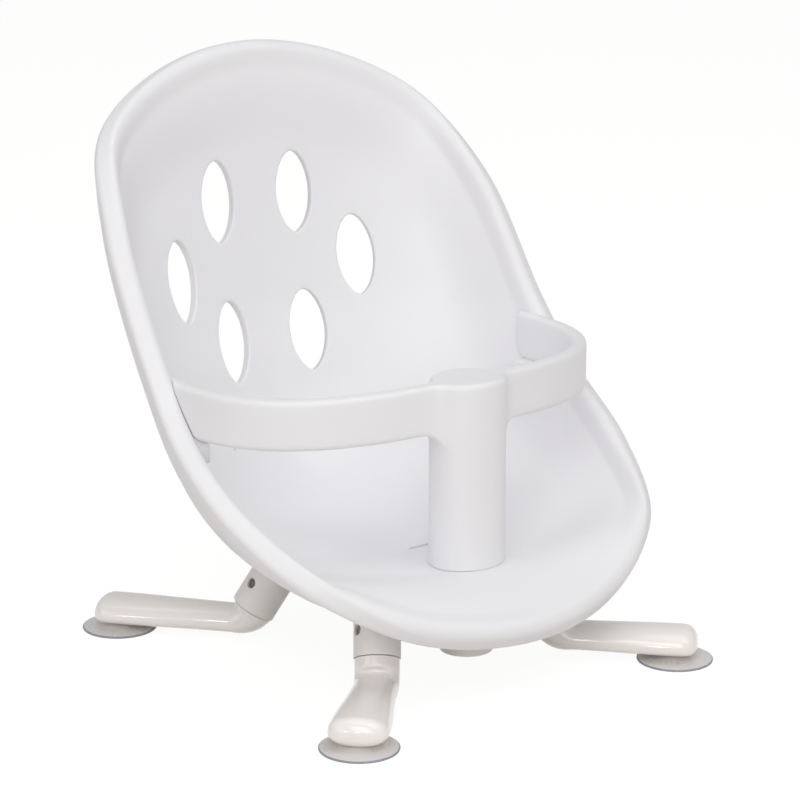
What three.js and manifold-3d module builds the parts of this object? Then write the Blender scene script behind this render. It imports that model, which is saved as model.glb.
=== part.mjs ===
// A baby bath seat: a moulded bucket seat with a drop-in waist bar, on four short splayed legs that
// click into the seat's base and stand on suction cups.
// Millimetres. +X is the seated child's left, -Y the way the child faces, +Z up. The floor is z = 0.

import * as THREE from 'three';
import { mergeVertices } from 'three/addons/utils/BufferGeometryUtils.js';
import Module from 'manifold-3d';

const wasm = await Module();
wasm.setup();

// Seat shell: overall sizes of the rim's outer edge
const SEAT_WIDTH = 329;
const BACK_TOP_Y = 179;
const BACK_TOP_Z = 378.5;
const LIP_Y = -145.5;
const LIP_Z = 42;

// Seat shell: wall, and the flat face all round its rim
const WALL = 6;
const RIM_FACE = 16;
const RIM_ROUND = 4;
const RIM_EDGE = 1.2;
const RIM_BEAD = 2.5;
const RIM_BEAD_WIDTH = 12;
const RIM_FLARE = 70;
const BACK_SQUARENESS = 1.8;
const HIP_SQUARENESS = 1.52;
const BACK_FROM = 0.65;
const FLOOR_SQUARENESS = 2.7;

// Half of the rim, from the top of the back to the front lip: how far out, back and up, as shares of
// the overall sizes
const RIM_COURSE = [
  [0, 1, 1],
  [0.432, 0.972, 0.964],
  [0.79, 0.892, 0.87],
  [0.942, 0.75, 0.722],
  [0.985, 0.584, 0.485],
  [1, 0.467, 0.355],
  [0.979, 0.307, 0.246],
  [0.824, 0.136, 0.133],
  [0.462, 0.045, 0.028],
  [0, 0, 0],
];

// The shell's outer surface down its middle, from the top of the back to the front lip: how far back
// and up, as shares of the same sizes
const MIDDLE_COURSE = [
  [1, 1],
  [0.964, 0.85],
  [0.95, 0.692],
  [0.905, 0.411],
  [0.865, 0.262],
  [0.775, 0.147],
  [0.62, 0.094],
  [0.448, 0.084],
  [0.31, 0.087],
  [0.2, 0.0885],
  [0.145, 0.085],
  [0.07, 0.0435],
  [0, 0],
];

// Leaf-shaped drain holes in the back, as places on the back: out from the middle, and height
const LEAF_WIDTH = 27;
const LEAF_HEIGHT = 56;
const LEAF_PLACES = [
  [31.7, 275],
  [73.2, 228],
  [32, 180.6],
];

// Strap slits
const SLIT_WIDTH = 3.5;
const CROTCH_SLIT_LENGTH = 25;
const CROTCH_SLIT_Y = -33;
const WAIST_SLIT_LENGTH = 14;
const WAIST_SLIT_X = 58;
const WAIST_SLIT_Z = 122.5;

// Waist bar and its post
const BAR_CENTRE_Y = 30;
const BAR_REACH_SIDE = 150;
const BAR_REACH_FRONT = 112;
const BAR_SQUARENESS = 2.5;
const BAR_END_Y = 49;
const BAR_THICKNESS = 10;
const BAR_HEIGHT = 32.5;
const BAR_EDGE = 3.5;
const BAR_TOP_AT_POST = 200;
const BAR_TOP_AT_ENDS = 196;
const LUG_FRONT_Y = 6;
const LUG_REAR_Y = 38;
const LUG_DROP = 20;
const POST_Y = -77;
const POST_WIDTH = 50;
const POST_DEPTH = 43;
const POST_SQUARENESS = 2.2;
const POST_FILLET = 12;
const POST_FILLET_FRONT = 14;
const POST_FILLET_REAR = 9;

// The post's spigot, the socket under the seat that takes it, and the release button
const SPIGOT_RADIUS = 13;
const SPIGOT_WALL = 3;
const SPIGOT_END_Z = 31;
const SPIGOT_ROOT = 12;
const SPIGOT_SLOT = 3;
const SPIGOT_SLOT_HEIGHT = 20;
const SOCKET_WALL = 3.6;
const SOCKET_BOTTOM_Z = 19;
const SOCKET_FLOOR = 3;
const RELEASE_RADIUS = 9;
const RELEASE_FLANGE = 2;
const RELEASE_BOTTOM_Z = 18;

// The moulded base that carries the leg sockets
const BASE_PLATE = 4;
const BASE_HALF_WIDTH = 62;
const BASE_FRONT_Y = -72;
const BASE_REAR_Y = 66;
const BASE_CORNER = 26;
const BASE_RIB = 4;
const BASE_RIB_DEPTH = 20;
const SCREW_HEAD_RADIUS = 4;
const SCREW_HEAD_HEIGHT = 2.4;
const SCREW_SHANK_RADIUS = 2;
const SCREW_BITE = 4;
const SCREW_BOSS_RADIUS = 6.5;
const SCREW_BOSS_DROP = 10;
const SCREW_X = 37;
const SCREW_FRONT_Y = -22;
const SCREW_REAR_Y = 14;

// Leg sockets and legs
const LEG_RADIUS = 15;
const LEG_SPLAY = 31.4;
const LEG_SOCKET_WALL = 3;
const LEG_SPIGOT_LENGTH = 35;
const LEG_SPIGOT_WALL = 2.6;
const SEAM = 0.6;
const NECK_STEP = 0.6;
const ARM_HEIGHT = 17.4;
const ARM_CENTRE_Z = 13.9;
const TOE_WIDTH = 38;
const TOE_BEYOND_CUP = 15;
const TOE_LENGTH = 16;
const TOE_SQUARENESS = 2.5;
const TOE_BROW = 10.5;
const TOE_CHIN = 5;
const ELBOW_REACH = 8;
const FRONT_LEG = { name: 'front', elbow: [75, -82], cup: [128, -135], heading: [0.6, -0.8], seam: 15 };
const REAR_LEG = { name: 'rear', elbow: [72, 67], cup: [128, 137], heading: [0.83, 0.56], seam: 8 };

// Push buttons that lock the legs, and their springs
const BUTTON_RADIUS = 3.2;
const BUTTON_FLANGE = 1.2;
const BUTTON_FLANGE_STEP = 1.4;
const BUTTON_ABOVE_SEAM = 17;
const BUTTON_RECESS = 1.4;
const CLIP_THICKNESS = 0.8;
const CLIP_WIDTH = 6;
const CLIP_LENGTH = 19;

// Suction cups
const CUP_RADIUS = 25;
const CUP_LIP = 1.2;
const CUP_STEM_RADIUS = 5.5;
const CUP_STEM_HEIGHT = 8;

// Clearances
const GAP = 0.3;
const RUNNING = 0.4;

// Fineness of the curved surfaces
const RIM_STEPS = 54;
const MERIDIAN_STEPS = 160;

const ORIGIN_Y = (BACK_TOP_Y + FRONT_LEG.cup[1] - CUP_RADIUS) / 2;
const UP = new THREE.Vector3(0, 0, 1);

// Solids

function solidOf(geometry) {
  const bare = geometry.index ? geometry.toNonIndexed() : geometry;
  bare.deleteAttribute('normal');
  bare.deleteAttribute('uv');
  const merged = mergeVertices(bare, 1e-4);
  const points = merged.attributes.position;
  const corners = Array.from(merged.index.array);
  const triVerts = new Uint32Array(enclosed(points, corners) < 0 ? corners.reverse() : corners);
  const vertProperties = new Float32Array(points.array);
  return new wasm.Manifold(new wasm.Mesh({ numProp: 3, vertProperties, triVerts }));
}

// Six times the volume that the triangles enclose: it is negative where they face inwards
function enclosed(points, corners) {
  let sum = 0;
  for (let i = 0; i < corners.length; i += 3) {
    const [a, b, c] = [0, 1, 2].map((k) => new THREE.Vector3().fromBufferAttribute(points, corners[i + k]));
    sum += a.dot(b.cross(c));
  }
  return sum;
}

function geometryOf(solid) {
  const { vertProperties, triVerts } = solid.getMesh();
  const geometry = new THREE.BufferGeometry();
  geometry.setAttribute('position', new THREE.BufferAttribute(new Float32Array(vertProperties), 3));
  geometry.setIndex(new THREE.BufferAttribute(new Uint32Array(triVerts), 1));
  geometry.computeVertexNormals();
  return geometry;
}

function largest(solid) {
  const pieces = solid.decompose();
  return pieces.reduce((best, piece) => (piece.volume() > best.volume() ? piece : best));
}

function union(solids) {
  return solids.reduce((all, next) => all.add(next));
}

// Closed skin through rings of points, each ring going anticlockwise seen from the last ring
function loft(rings) {
  const positions = [];
  const put = (...points) => points.forEach((p) => positions.push(p.x, p.y, p.z));
  const count = rings[0].length;
  for (let i = 0; i + 1 < rings.length; i++) {
    for (let j = 0; j < count; j++) {
      const k = (j + 1) % count;
      put(rings[i][j], rings[i][k], rings[i + 1][k]);
      put(rings[i][j], rings[i + 1][k], rings[i + 1][j]);
    }
  }
  const [first, last] = [rings[0], rings[rings.length - 1]];
  const [start, end] = [first, last].map((ring) =>
    ring.reduce((sum, p) => sum.add(p), new THREE.Vector3()).divideScalar(count));
  for (let j = 0; j < count; j++) {
    const k = (j + 1) % count;
    put(start, first[k], first[j]);
    put(end, last[j], last[k]);
  }
  const geometry = new THREE.BufferGeometry();
  geometry.setAttribute('position', new THREE.Float32BufferAttribute(positions, 3));
  return solidOf(geometry);
}

// Matrix that stands a shape's +Z along an axis, with its +Y as near up as it can be
function standing(origin, axis) {
  const z = axis.clone().normalize();
  const hint = Math.abs(z.z) > 0.999 ? new THREE.Vector3(0, 1, 0) : UP;
  const x = new THREE.Vector3().crossVectors(hint, z).normalize();
  const y = new THREE.Vector3().crossVectors(z, x);
  return new THREE.Matrix4().makeBasis(x, y, z).setPosition(origin);
}

function revolved(profile, matrix, steps = 20) {
  const points = profile.map(([radius, height]) => new THREE.Vector2(radius, height));
  const geometry = new THREE.LatheGeometry(points, steps);
  geometry.rotateX(Math.PI / 2);
  return solidOf(geometry.applyMatrix4(matrix));
}

// Round bar along an axis, between two distances from a point
function rod(origin, axis, radius, from, to, steps = 16) {
  return revolved([[0, from], [radius, from], [radius, to], [0, to]], standing(origin, axis), steps);
}

function prism(shape, depth, matrix, curveSegments = 6) {
  const geometry = new THREE.ExtrudeGeometry(shape, { depth, bevelEnabled: false, curveSegments });
  return solidOf(geometry.applyMatrix4(matrix));
}

function box(from, to) {
  const size = new THREE.Vector3().subVectors(to, from);
  const geometry = new THREE.BoxGeometry(size.x, size.y, size.z);
  const middle = new THREE.Vector3().addVectors(from, to).multiplyScalar(0.5);
  return solidOf(geometry.translate(middle.x, middle.y, middle.z));
}

// Seat shell: its outer surface is a bowl over a unit disc, whose edge is the rim

function rimPoint([out, back, up], side) {
  return new THREE.Vector3(
    side * out * SEAT_WIDTH / 2,
    THREE.MathUtils.lerp(LIP_Y, BACK_TOP_Y, back),
    THREE.MathUtils.lerp(LIP_Z, BACK_TOP_Z, up),
  );
}

const rimCurve = new THREE.CatmullRomCurve3([
  ...RIM_COURSE.map((place) => rimPoint(place, 1)),
  ...RIM_COURSE.slice(1, -1).reverse().map((place) => rimPoint(place, -1)),
], true);
rimCurve.arcLengthDivisions = 720;

const middleCurve = new THREE.CatmullRomCurve3(
  MIDDLE_COURSE.map(([back, up]) => rimPoint([0, back, up], 1)),
);
middleCurve.arcLengthDivisions = 400;

function bowl(across, along) {
  const rim = rimCurve.getPointAt(Math.acos(along) / (2 * Math.PI));
  const middle = middleCurve.getPointAt((1 - along) / 2);
  const half = Math.sqrt(1 - along * along);
  const share = half > 0 ? Math.min(Math.abs(across) / half, 1) : 0;
  const power = along > 0
    ? THREE.MathUtils.lerp(HIP_SQUARENESS, BACK_SQUARENESS, THREE.MathUtils.smoothstep(along, 0, BACK_FROM))
    : THREE.MathUtils.lerp(HIP_SQUARENESS, FLOOR_SQUARENESS, THREE.MathUtils.smoothstep(-along, 0, 1));
  const rise = 1 - (1 - share ** power) ** (1 / power);
  return new THREE.Vector3(
    Math.sign(across) * rim.x * share,
    THREE.MathUtils.lerp(middle.y, rim.y, rise),
    THREE.MathUtils.lerp(middle.z, rim.z, rise),
  );
}

// A line down the bowl from the rim to the middle of the seat, walked by distance
function meridian(angle) {
  const points = [];
  const walked = [0];
  for (let i = 0; i <= MERIDIAN_STEPS; i++) {
    const reach = Math.sin((1 - i / MERIDIAN_STEPS) * Math.PI / 2);
    points.push(bowl(reach * Math.sin(angle), reach * Math.cos(angle)));
    if (i > 0) walked.push(walked[i - 1] + points[i].distanceTo(points[i - 1]));
  }
  const length = walked[MERIDIAN_STEPS];
  const at = (distance) => {
    let i = walked.findIndex((w) => w > distance);
    i = i < 1 ? (distance < 0 ? 1 : MERIDIAN_STEPS) : i;
    const share = (distance - walked[i - 1]) / (walked[i] - walked[i - 1]);
    return new THREE.Vector3().lerpVectors(points[i - 1], points[i], share);
  };
  return { at, length };
}

const meridians = Array.from({ length: RIM_STEPS }, (_, j) => meridian(2 * Math.PI * j / RIM_STEPS));
const toMiddle = Math.min(...meridians.map((line) => line.length));

// How far a place on a line is from the rim: a distance near the rim, a share of the rest beyond it
function distanceOn(line, place) {
  const rest = Math.max(0, place - RIM_FLARE) / (toMiddle - RIM_FLARE);
  return Math.min(place, RIM_FLARE) + rest * (line.length - RIM_FLARE);
}

// A point lifted off the outer surface, towards the inside of the seat. Near the rim the direction is
// the one a little way down from it, so that the rim's face is evenly wide and straight
function lifted(j, place, lift) {
  const line = meridians[j];
  const next = meridians[(j + 1) % RIM_STEPS];
  const last = meridians[(j + RIM_STEPS - 1) % RIM_STEPS];
  const stance = Math.max(place, RIM_FACE);
  const spot = (of, extra = 0) => of.at(Math.min(distanceOn(of, stance) + extra, of.length));
  const around = spot(next).sub(spot(last));
  const down = spot(line, RIM_FACE / 2).sub(spot(line, -RIM_FACE / 2));
  return line.at(distanceOn(line, place)).addScaledVector(down.cross(around).normalize(), lift);
}

function ring(place, lift) {
  return meridians.map((_, j) => lifted(j, place, lift));
}

// The shell's section from the middle of the seat, up its outside, over the rim and back down inside,
// as places and lifts off the outer surface; it can be grown on both sides
function shellSection(outside, inside) {
  const thickness = (place) => {
    const bead = RIM_BEAD * THREE.MathUtils.smoothstep(place, RIM_ROUND, RIM_ROUND + RIM_BEAD_WIDTH);
    const flare = THREE.MathUtils.smoothstep(place, RIM_ROUND + RIM_BEAD_WIDTH, RIM_FLARE);
    return THREE.MathUtils.lerp(RIM_FACE - bead, WALL, flare) + inside;
  };
  const middleSteps = 5;
  const far = Array.from({ length: middleSteps }, (_, i) =>
    THREE.MathUtils.lerp(toMiddle, RIM_FLARE, (i + 0.3) / (middleSteps - 0.7)));
  const near = [RIM_FLARE * 0.6, RIM_FLARE * 0.4, RIM_ROUND + RIM_BEAD_WIDTH, RIM_ROUND + RIM_BEAD_WIDTH / 2];
  const down = [...far, ...near];
  const rounding = [0, 45, 90].map((degrees) => {
    const angle = THREE.MathUtils.degToRad(degrees);
    return [
      RIM_ROUND * (1 - Math.cos(angle)) - outside,
      RIM_FACE + inside - RIM_ROUND * (1 - Math.sin(angle)),
    ];
  });
  return [
    ...down.map((place) => [place, -outside]),
    [RIM_ROUND, -outside],
    [RIM_EDGE - outside, -outside],
    [-outside, RIM_EDGE - outside],
    ...rounding,
    ...down.reverse().map((place) => [place, thickness(place)]),
  ];
}

function shellSolid(outside = 0, inside = outside) {
  return loft(shellSection(outside, inside).map(([place, lift]) => ring(place, lift)));
}

// Everything inside the shell's outer surface, grown by a clearance
function bowlSolid(grown) {
  const outer = shellSection(grown, 0).filter(([, lift]) => lift === -grown);
  return loft(outer.map(([place, lift]) => ring(place, lift)));
}

// The outer surface's point and inward normal where one coordinate is met, at a given x
function surfaceAt(x, axis, value) {
  let [low, high] = axis === 'z' ? [-0.2, 0.97] : [-0.97, 0.1];
  const spot = (along, dx = 0) => {
    const rim = rimCurve.getPointAt(Math.acos(along) / (2 * Math.PI));
    const half = Math.sqrt(1 - along * along);
    return bowl(half * (x + dx) / rim.x, along);
  };
  for (let i = 0; i < 40; i++) {
    const mid = (low + high) / 2;
    if (spot(mid)[axis] < value) low = mid;
    else high = mid;
  }
  const along = (low + high) / 2;
  const point = spot(along);
  const aside = spot(along, 0.5).sub(spot(along, -0.5));
  const upward = spot(along + 0.002).sub(spot(along - 0.002));
  const normal = aside.cross(upward).normalize();
  return { point, normal };
}

const backAt = (x, z) => surfaceAt(x, 'z', z);
const floorAt = (x, y) => surfaceAt(x, 'y', y);

function leafShape() {
  const [w, h] = [LEAF_WIDTH / 2, LEAF_HEIGHT / 2];
  const shape = new THREE.Shape();
  shape.moveTo(0, -h);
  shape.bezierCurveTo(w * 0.5, -h * 0.93, w, -h * 0.5, w, h * 0.03);
  shape.bezierCurveTo(w, h * 0.54, w * 0.5, h, 0, h);
  shape.bezierCurveTo(-w * 0.5, h, -w, h * 0.54, -w, h * 0.03);
  shape.bezierCurveTo(-w, -h * 0.5, -w * 0.5, -h * 0.93, 0, -h);
  return shape;
}

function slitShape(length, width) {
  const [l, r] = [length / 2 - width / 2, width / 2];
  const shape = new THREE.Shape();
  shape.absarc(0, l, r, 0, Math.PI, false);
  shape.absarc(0, -l, r, Math.PI, 2 * Math.PI, false);
  return shape;
}

// Cuts a shape square through the wall, its +Y straight up the back in side view
function throughWall(shape, { point, normal }, sideways = false) {
  const depth = 2 * RIM_FACE;
  const up = new THREE.Vector3(0, normal.z, -normal.y).normalize();
  const matrix = new THREE.Matrix4()
    .makeBasis(new THREE.Vector3().crossVectors(up, normal), up, normal)
    .setPosition(point.clone().addScaledVector(normal, -depth / 2));
  if (sideways) matrix.multiply(new THREE.Matrix4().makeRotationZ(Math.PI / 2));
  return prism(shape, depth, matrix, 4);
}

const floorAtPost = floorAt(0, POST_Y);
const floorTopZ = floorAtPost.point.z + WALL;

function seatShell() {
  const leaves = LEAF_PLACES.flatMap(([x, z]) =>
    [x, -x].map((side) => throughWall(leafShape(), backAt(side, z))));
  const slits = [
    throughWall(slitShape(CROTCH_SLIT_LENGTH, SLIT_WIDTH), floorAt(0, CROTCH_SLIT_Y), true),
    ...[1, -1].map((side) => throughWall(
      slitShape(WAIST_SLIT_LENGTH, SLIT_WIDTH), backAt(side * WAIST_SLIT_X, WAIST_SLIT_Z))),
  ];
  const postHole = rod(new THREE.Vector3(0, POST_Y, 0), UP, SPIGOT_RADIUS + RUNNING, 0, floorTopZ + WALL);
  const screwHoles = screwPlaces().map(({ point }) =>
    rod(point, UP, SCREW_SHANK_RADIUS + GAP, -WALL, SCREW_BITE + GAP, 10));
  return [...leaves, ...slits, postHole, ...screwHoles].reduce(
    (shell, cut) => shell.subtract(cut), shellSolid());
}

// Waist bar: a band round the child's waist, on a post that drops into the seat

// The band's outer face in plan for one half, from the front to its end: a squarish ellipse, then straight
function bandFace() {
  const [a, b] = [BAR_REACH_SIDE, BAR_REACH_FRONT];
  const steps = 240;
  const curve = (value, reach) => reach * value ** (2 / BAR_SQUARENESS);
  const bow = Array.from({ length: steps }, (_, i) => {
    const angle = (i + 0.5) / steps * Math.PI / 2;
    const at = new THREE.Vector2(curve(Math.sin(angle), a), BAR_CENTRE_Y - curve(Math.cos(angle), b));
    const out = new THREE.Vector2(
      (at.x / a) ** (BAR_SQUARENESS - 1) / a,
      -(((BAR_CENTRE_Y - at.y) / b) ** (BAR_SQUARENESS - 1)) / b,
    ).normalize();
    return { at, out };
  });
  return [...bow, { at: new THREE.Vector2(a, BAR_CENTRE_Y), out: new THREE.Vector2(1, 0) }];
}

// The post's outline in plan, a squarish ellipse, as places and outward directions
function postOutline(steps) {
  const [w, d] = [POST_WIDTH / 2, POST_DEPTH / 2];
  return Array.from({ length: steps }, (_, j) => {
    const angle = 2 * Math.PI * j / steps;
    const flat = (value) => Math.sign(value) * Math.abs(value) ** (2 / POST_SQUARENESS);
    const [x, y] = [flat(Math.cos(angle)), flat(Math.sin(angle))];
    const slope = (value) => Math.sign(value) * Math.abs(value) ** (POST_SQUARENESS - 1);
    return {
      at: new THREE.Vector2(w * x, POST_Y + d * y),
      out: new THREE.Vector2(slope(x) / w, slope(y) / d).normalize(),
    };
  });
}

// Points round an arc in plan, from one direction to another the short way
function planArc(centre, radius, from, to, steps, facing) {
  const turn = Math.atan2(from.cross(to), from.dot(to));
  return Array.from({ length: steps + 1 }, (_, i) => {
    const way = from.clone().rotateAround(new THREE.Vector2(), turn * i / steps);
    return { at: centre.clone().addScaledVector(way, radius), out: way.multiplyScalar(facing) };
  });
}

// Half of the bar's outline, from the band's end along one face to the middle of the post
function flowing(face, radius, front) {
  const quarter = postOutline(480)
    .filter(({ at }) => at.x >= 0 && (front ? at.y <= POST_Y : at.y >= POST_Y))
    .sort((p, q) => q.at.x - p.at.x);
  const offset = ({ at, out }) => at.clone().addScaledVector(out, radius);
  let best = { gap: Infinity };
  face.forEach((station, i) => {
    if (station.at.x > BAR_REACH_SIDE / 2) return;
    quarter.forEach((place, j) => {
      const gap = offset(station).distanceTo(offset(place));
      if (gap < best.gap) best = { gap, i, j };
    });
  });
  const [station, place] = [face[best.i], quarter[best.j]];
  const bend = planArc(
    offset(place), radius, station.out.clone().negate(), place.out.clone().negate(), 4, -1);
  const thin = (list, every) => list.filter((_, i) => i % every === 0);
  return [
    ...thin(face.slice(best.i + 12).reverse(), 24),
    ...bend,
    ...thin(quarter.slice(best.j + 12).reverse(), 20).reverse(),
  ];
}

// The whole outline of the band and the top of the post, seen from above
function barOutline() {
  const face = bandFace();
  const inner = face.map(({ at, out }) => ({
    at: at.clone().addScaledVector(out, -BAR_THICKNESS), out: out.clone().negate(),
  }));
  const corner = BAR_EDGE + 0.5;
  const [east, north, west] = [[1, 0], [0, 1], [-1, 0]].map(([x, y]) => new THREE.Vector2(x, y));
  const turn = BAR_END_Y - corner;
  const end = [
    ...planArc(new THREE.Vector2(BAR_REACH_SIDE - corner, turn), corner, east, north, 2, 1),
    ...planArc(new THREE.Vector2(BAR_REACH_SIDE - BAR_THICKNESS + corner, turn), corner, north, west, 2, 1),
  ];
  const half = [
    ...flowing(face, POST_FILLET_FRONT, true).reverse(),
    ...end,
    ...flowing(inner, POST_FILLET_REAR, false),
  ];
  const across = half.filter(({ at }) => at.x > 0.01).map(({ at, out }) => ({
    at: new THREE.Vector2(-at.x, at.y), out: new THREE.Vector2(-out.x, out.y),
  }));
  return [...half, ...across.reverse()];
}

// A slab over an outline in plan, as rows of an inset and a height; it can sink towards the bar's ends
function slab(outline, rows, drop = 0) {
  const rings = rows.map(([inset, height]) => outline.map(({ at, out }) => new THREE.Vector3(
    at.x - out.x * inset,
    at.y - out.y * inset,
    height - drop * Math.abs(at.x) / BAR_REACH_SIDE,
  )));
  const positions = [];
  const put = (...points) => points.forEach((p) => positions.push(p.x, p.y, p.z));
  for (let i = 0; i + 1 < rings.length; i++) {
    outline.forEach((_, j) => {
      const k = (j + 1) % outline.length;
      put(rings[i][j], rings[i][k], rings[i + 1][k]);
      put(rings[i][j], rings[i + 1][k], rings[i + 1][j]);
    });
  }
  [rings[0], rings[rings.length - 1]].forEach((ring, top) => {
    const flat = ring.map((p) => new THREE.Vector2(p.x, p.y));
    THREE.ShapeUtils.triangulateShape(flat, []).forEach(([a, b, c]) => {
      const upward = flat[b].clone().sub(flat[a]).cross(flat[c].clone().sub(flat[a])) > 0;
      if (upward === Boolean(top)) put(ring[a], ring[b], ring[c]);
      else put(ring[a], ring[c], ring[b]);
    });
  });
  const geometry = new THREE.BufferGeometry();
  geometry.setAttribute('position', new THREE.Float32BufferAttribute(positions, 3));
  return solidOf(geometry);
}

const barPlan = barOutline();

function bandSolid() {
  const turns = [0, 1, 2].map((i) => i * Math.PI / 4);
  const low = turns.map((angle) => [BAR_EDGE * (1 - Math.sin(angle)), BAR_EDGE * (1 - Math.cos(angle))]);
  const high = low.map(([inset, height]) => [inset, BAR_HEIGHT - height]).reverse();
  const foot = BAR_TOP_AT_POST - BAR_HEIGHT;
  return slab(
    barPlan,
    [...low, ...high].map(([inset, height]) => [inset, foot + height]),
    BAR_TOP_AT_POST - BAR_TOP_AT_ENDS,
  );
}

function postRing(grown, z) {
  return postOutline(36).map(({ at, out }) => new THREE.Vector3(
    at.x + out.x * grown, at.y + out.y * grown, z));
}

function postSolid() {
  return loft([postRing(0, floorTopZ - WALL), postRing(0, BAR_TOP_AT_POST - BAR_HEIGHT / 2)]);
}

// The concave fillet all round, where the band's underside runs into the post
function postFillet() {
  const foot = BAR_TOP_AT_POST - BAR_HEIGHT;
  const rings = [0, 25, 50, 70, 90].map((degrees) => {
    const angle = THREE.MathUtils.degToRad(degrees);
    return postRing(POST_FILLET * (1 - Math.cos(angle)), foot - POST_FILLET * (1 - Math.sin(angle)));
  });
  const collar = loft([...rings, postRing(POST_FILLET, foot + BAR_HEIGHT / 2)]);
  return collar.intersect(slab(barPlan, [[0, foot - POST_FILLET], [0, foot + BAR_HEIGHT / 2]]));
}

// Tongues that hang from the band's ends, flat against the seat's walls
function lugSolid(side) {
  const top = BAR_TOP_AT_ENDS - BAR_HEIGHT / 2;
  const foot = BAR_TOP_AT_ENDS - BAR_HEIGHT - LUG_DROP;
  const r = (LUG_REAR_Y - LUG_FRONT_Y) / 2;
  const middle = (LUG_FRONT_Y + LUG_REAR_Y) / 2;
  const shape = new THREE.Shape();
  shape.moveTo(LUG_FRONT_Y, top);
  shape.absellipse(middle, foot + r, r, r, Math.PI, 2 * Math.PI, false);
  shape.lineTo(LUG_REAR_Y, top);
  const matrix = new THREE.Matrix4().makeBasis(
    new THREE.Vector3(0, 1, 0), UP, new THREE.Vector3(1, 0, 0));
  const tongue = prism(shape, SEAT_WIDTH / 4, matrix).translate([SEAT_WIDTH * 5 / 16, 0, 0]);
  return side > 0 ? tongue : tongue.mirror([1, 0, 0]);
}

function postSpigot() {
  const centre = new THREE.Vector3(0, POST_Y, 0);
  const body = rod(centre, UP, SPIGOT_RADIUS, SPIGOT_END_Z, floorTopZ + SPIGOT_ROOT);
  const bore = rod(centre, UP, SPIGOT_RADIUS - SPIGOT_WALL, SPIGOT_END_Z - 1, floorTopZ);
  const slot = box(
    new THREE.Vector3(-SPIGOT_SLOT / 2, POST_Y - 2 * SPIGOT_RADIUS, SPIGOT_END_Z - 1),
    new THREE.Vector3(SPIGOT_SLOT / 2, POST_Y + 2 * SPIGOT_RADIUS, SPIGOT_END_Z + SPIGOT_SLOT_HEIGHT),
  );
  return body.subtract(bore).subtract(slot);
}

function waistBar() {
  const wall = shellSolid(GAP);
  const hugging = shellSolid(0, BAR_THICKNESS);
  const lugs = [1, -1].map((side) => lugSolid(side).intersect(hugging));
  const blank = union([bandSolid(), postSolid(), postFillet(), ...lugs]);
  return largest(blank.subtract(wall)).add(postSpigot());
}

// Release button under the post's socket

function releaseButton() {
  const seat = SOCKET_BOTTOM_Z + SOCKET_FLOOR + GAP;
  const flange = SPIGOT_RADIUS - RUNNING;
  const dome = 1;
  return revolved([
    [0, RELEASE_BOTTOM_Z],
    [RELEASE_RADIUS - 2 * dome, RELEASE_BOTTOM_Z],
    [RELEASE_RADIUS, RELEASE_BOTTOM_Z + dome],
    [RELEASE_RADIUS, seat],
    [flange, seat],
    [flange, seat + RELEASE_FLANGE],
    [0, seat + RELEASE_FLANGE],
  ], standing(new THREE.Vector3(0, POST_Y, 0), UP));
}

// Legs: every leg has an axis up its socket, and an arm along the floor to its cup

function legFrame(kind, side) {
  const splay = THREE.MathUtils.degToRad(LEG_SPLAY);
  const out = new THREE.Vector2(side * kind.heading[0], kind.heading[1]).normalize();
  const axis = new THREE.Vector3(
    -out.x * Math.sin(splay), -out.y * Math.sin(splay), Math.cos(splay));
  const elbow = new THREE.Vector3(side * kind.elbow[0], kind.elbow[1], ARM_CENTRE_Z);
  const cup = new THREE.Vector3(side * kind.cup[0], kind.cup[1], 0);
  const arm = new THREE.Vector3(cup.x - elbow.x, cup.y - elbow.y, 0);
  const reach = arm.length();
  const aside = new THREE.Vector3(side, 0, 0);
  const press = aside.addScaledVector(axis, -aside.dot(axis)).normalize();
  const lock = elbow.clone().addScaledVector(axis, kind.seam + BUTTON_ABOVE_SEAM);
  return { kind, axis, elbow, cup, arm: arm.normalize(), reach, press, lock };
}

const legs = [FRONT_LEG, REAR_LEG].flatMap((kind) => [
  { ...legFrame(kind, 1), name: `${kind.name}_left` },
  { ...legFrame(kind, -1), name: `${kind.name}_right` },
]);

// Section across a leg: from round at the neck to flat and squarish along the arm
function legRing(centre, tangent, halfWidth, halfHeight, squareness) {
  const aside = new THREE.Vector3().crossVectors(tangent, UP).normalize();
  const above = new THREE.Vector3().crossVectors(aside, tangent);
  const steps = 16;
  return Array.from({ length: steps }, (_, j) => {
    const angle = 2 * Math.PI * j / steps;
    const [c, s] = [Math.cos(angle), Math.sin(angle)];
    const flat = (value) => Math.sign(value) * Math.abs(value) ** (2 / squareness);
    return centre.clone()
      .addScaledVector(aside, halfWidth * flat(c))
      .addScaledVector(above, halfHeight * flat(s));
  });
}

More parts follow.
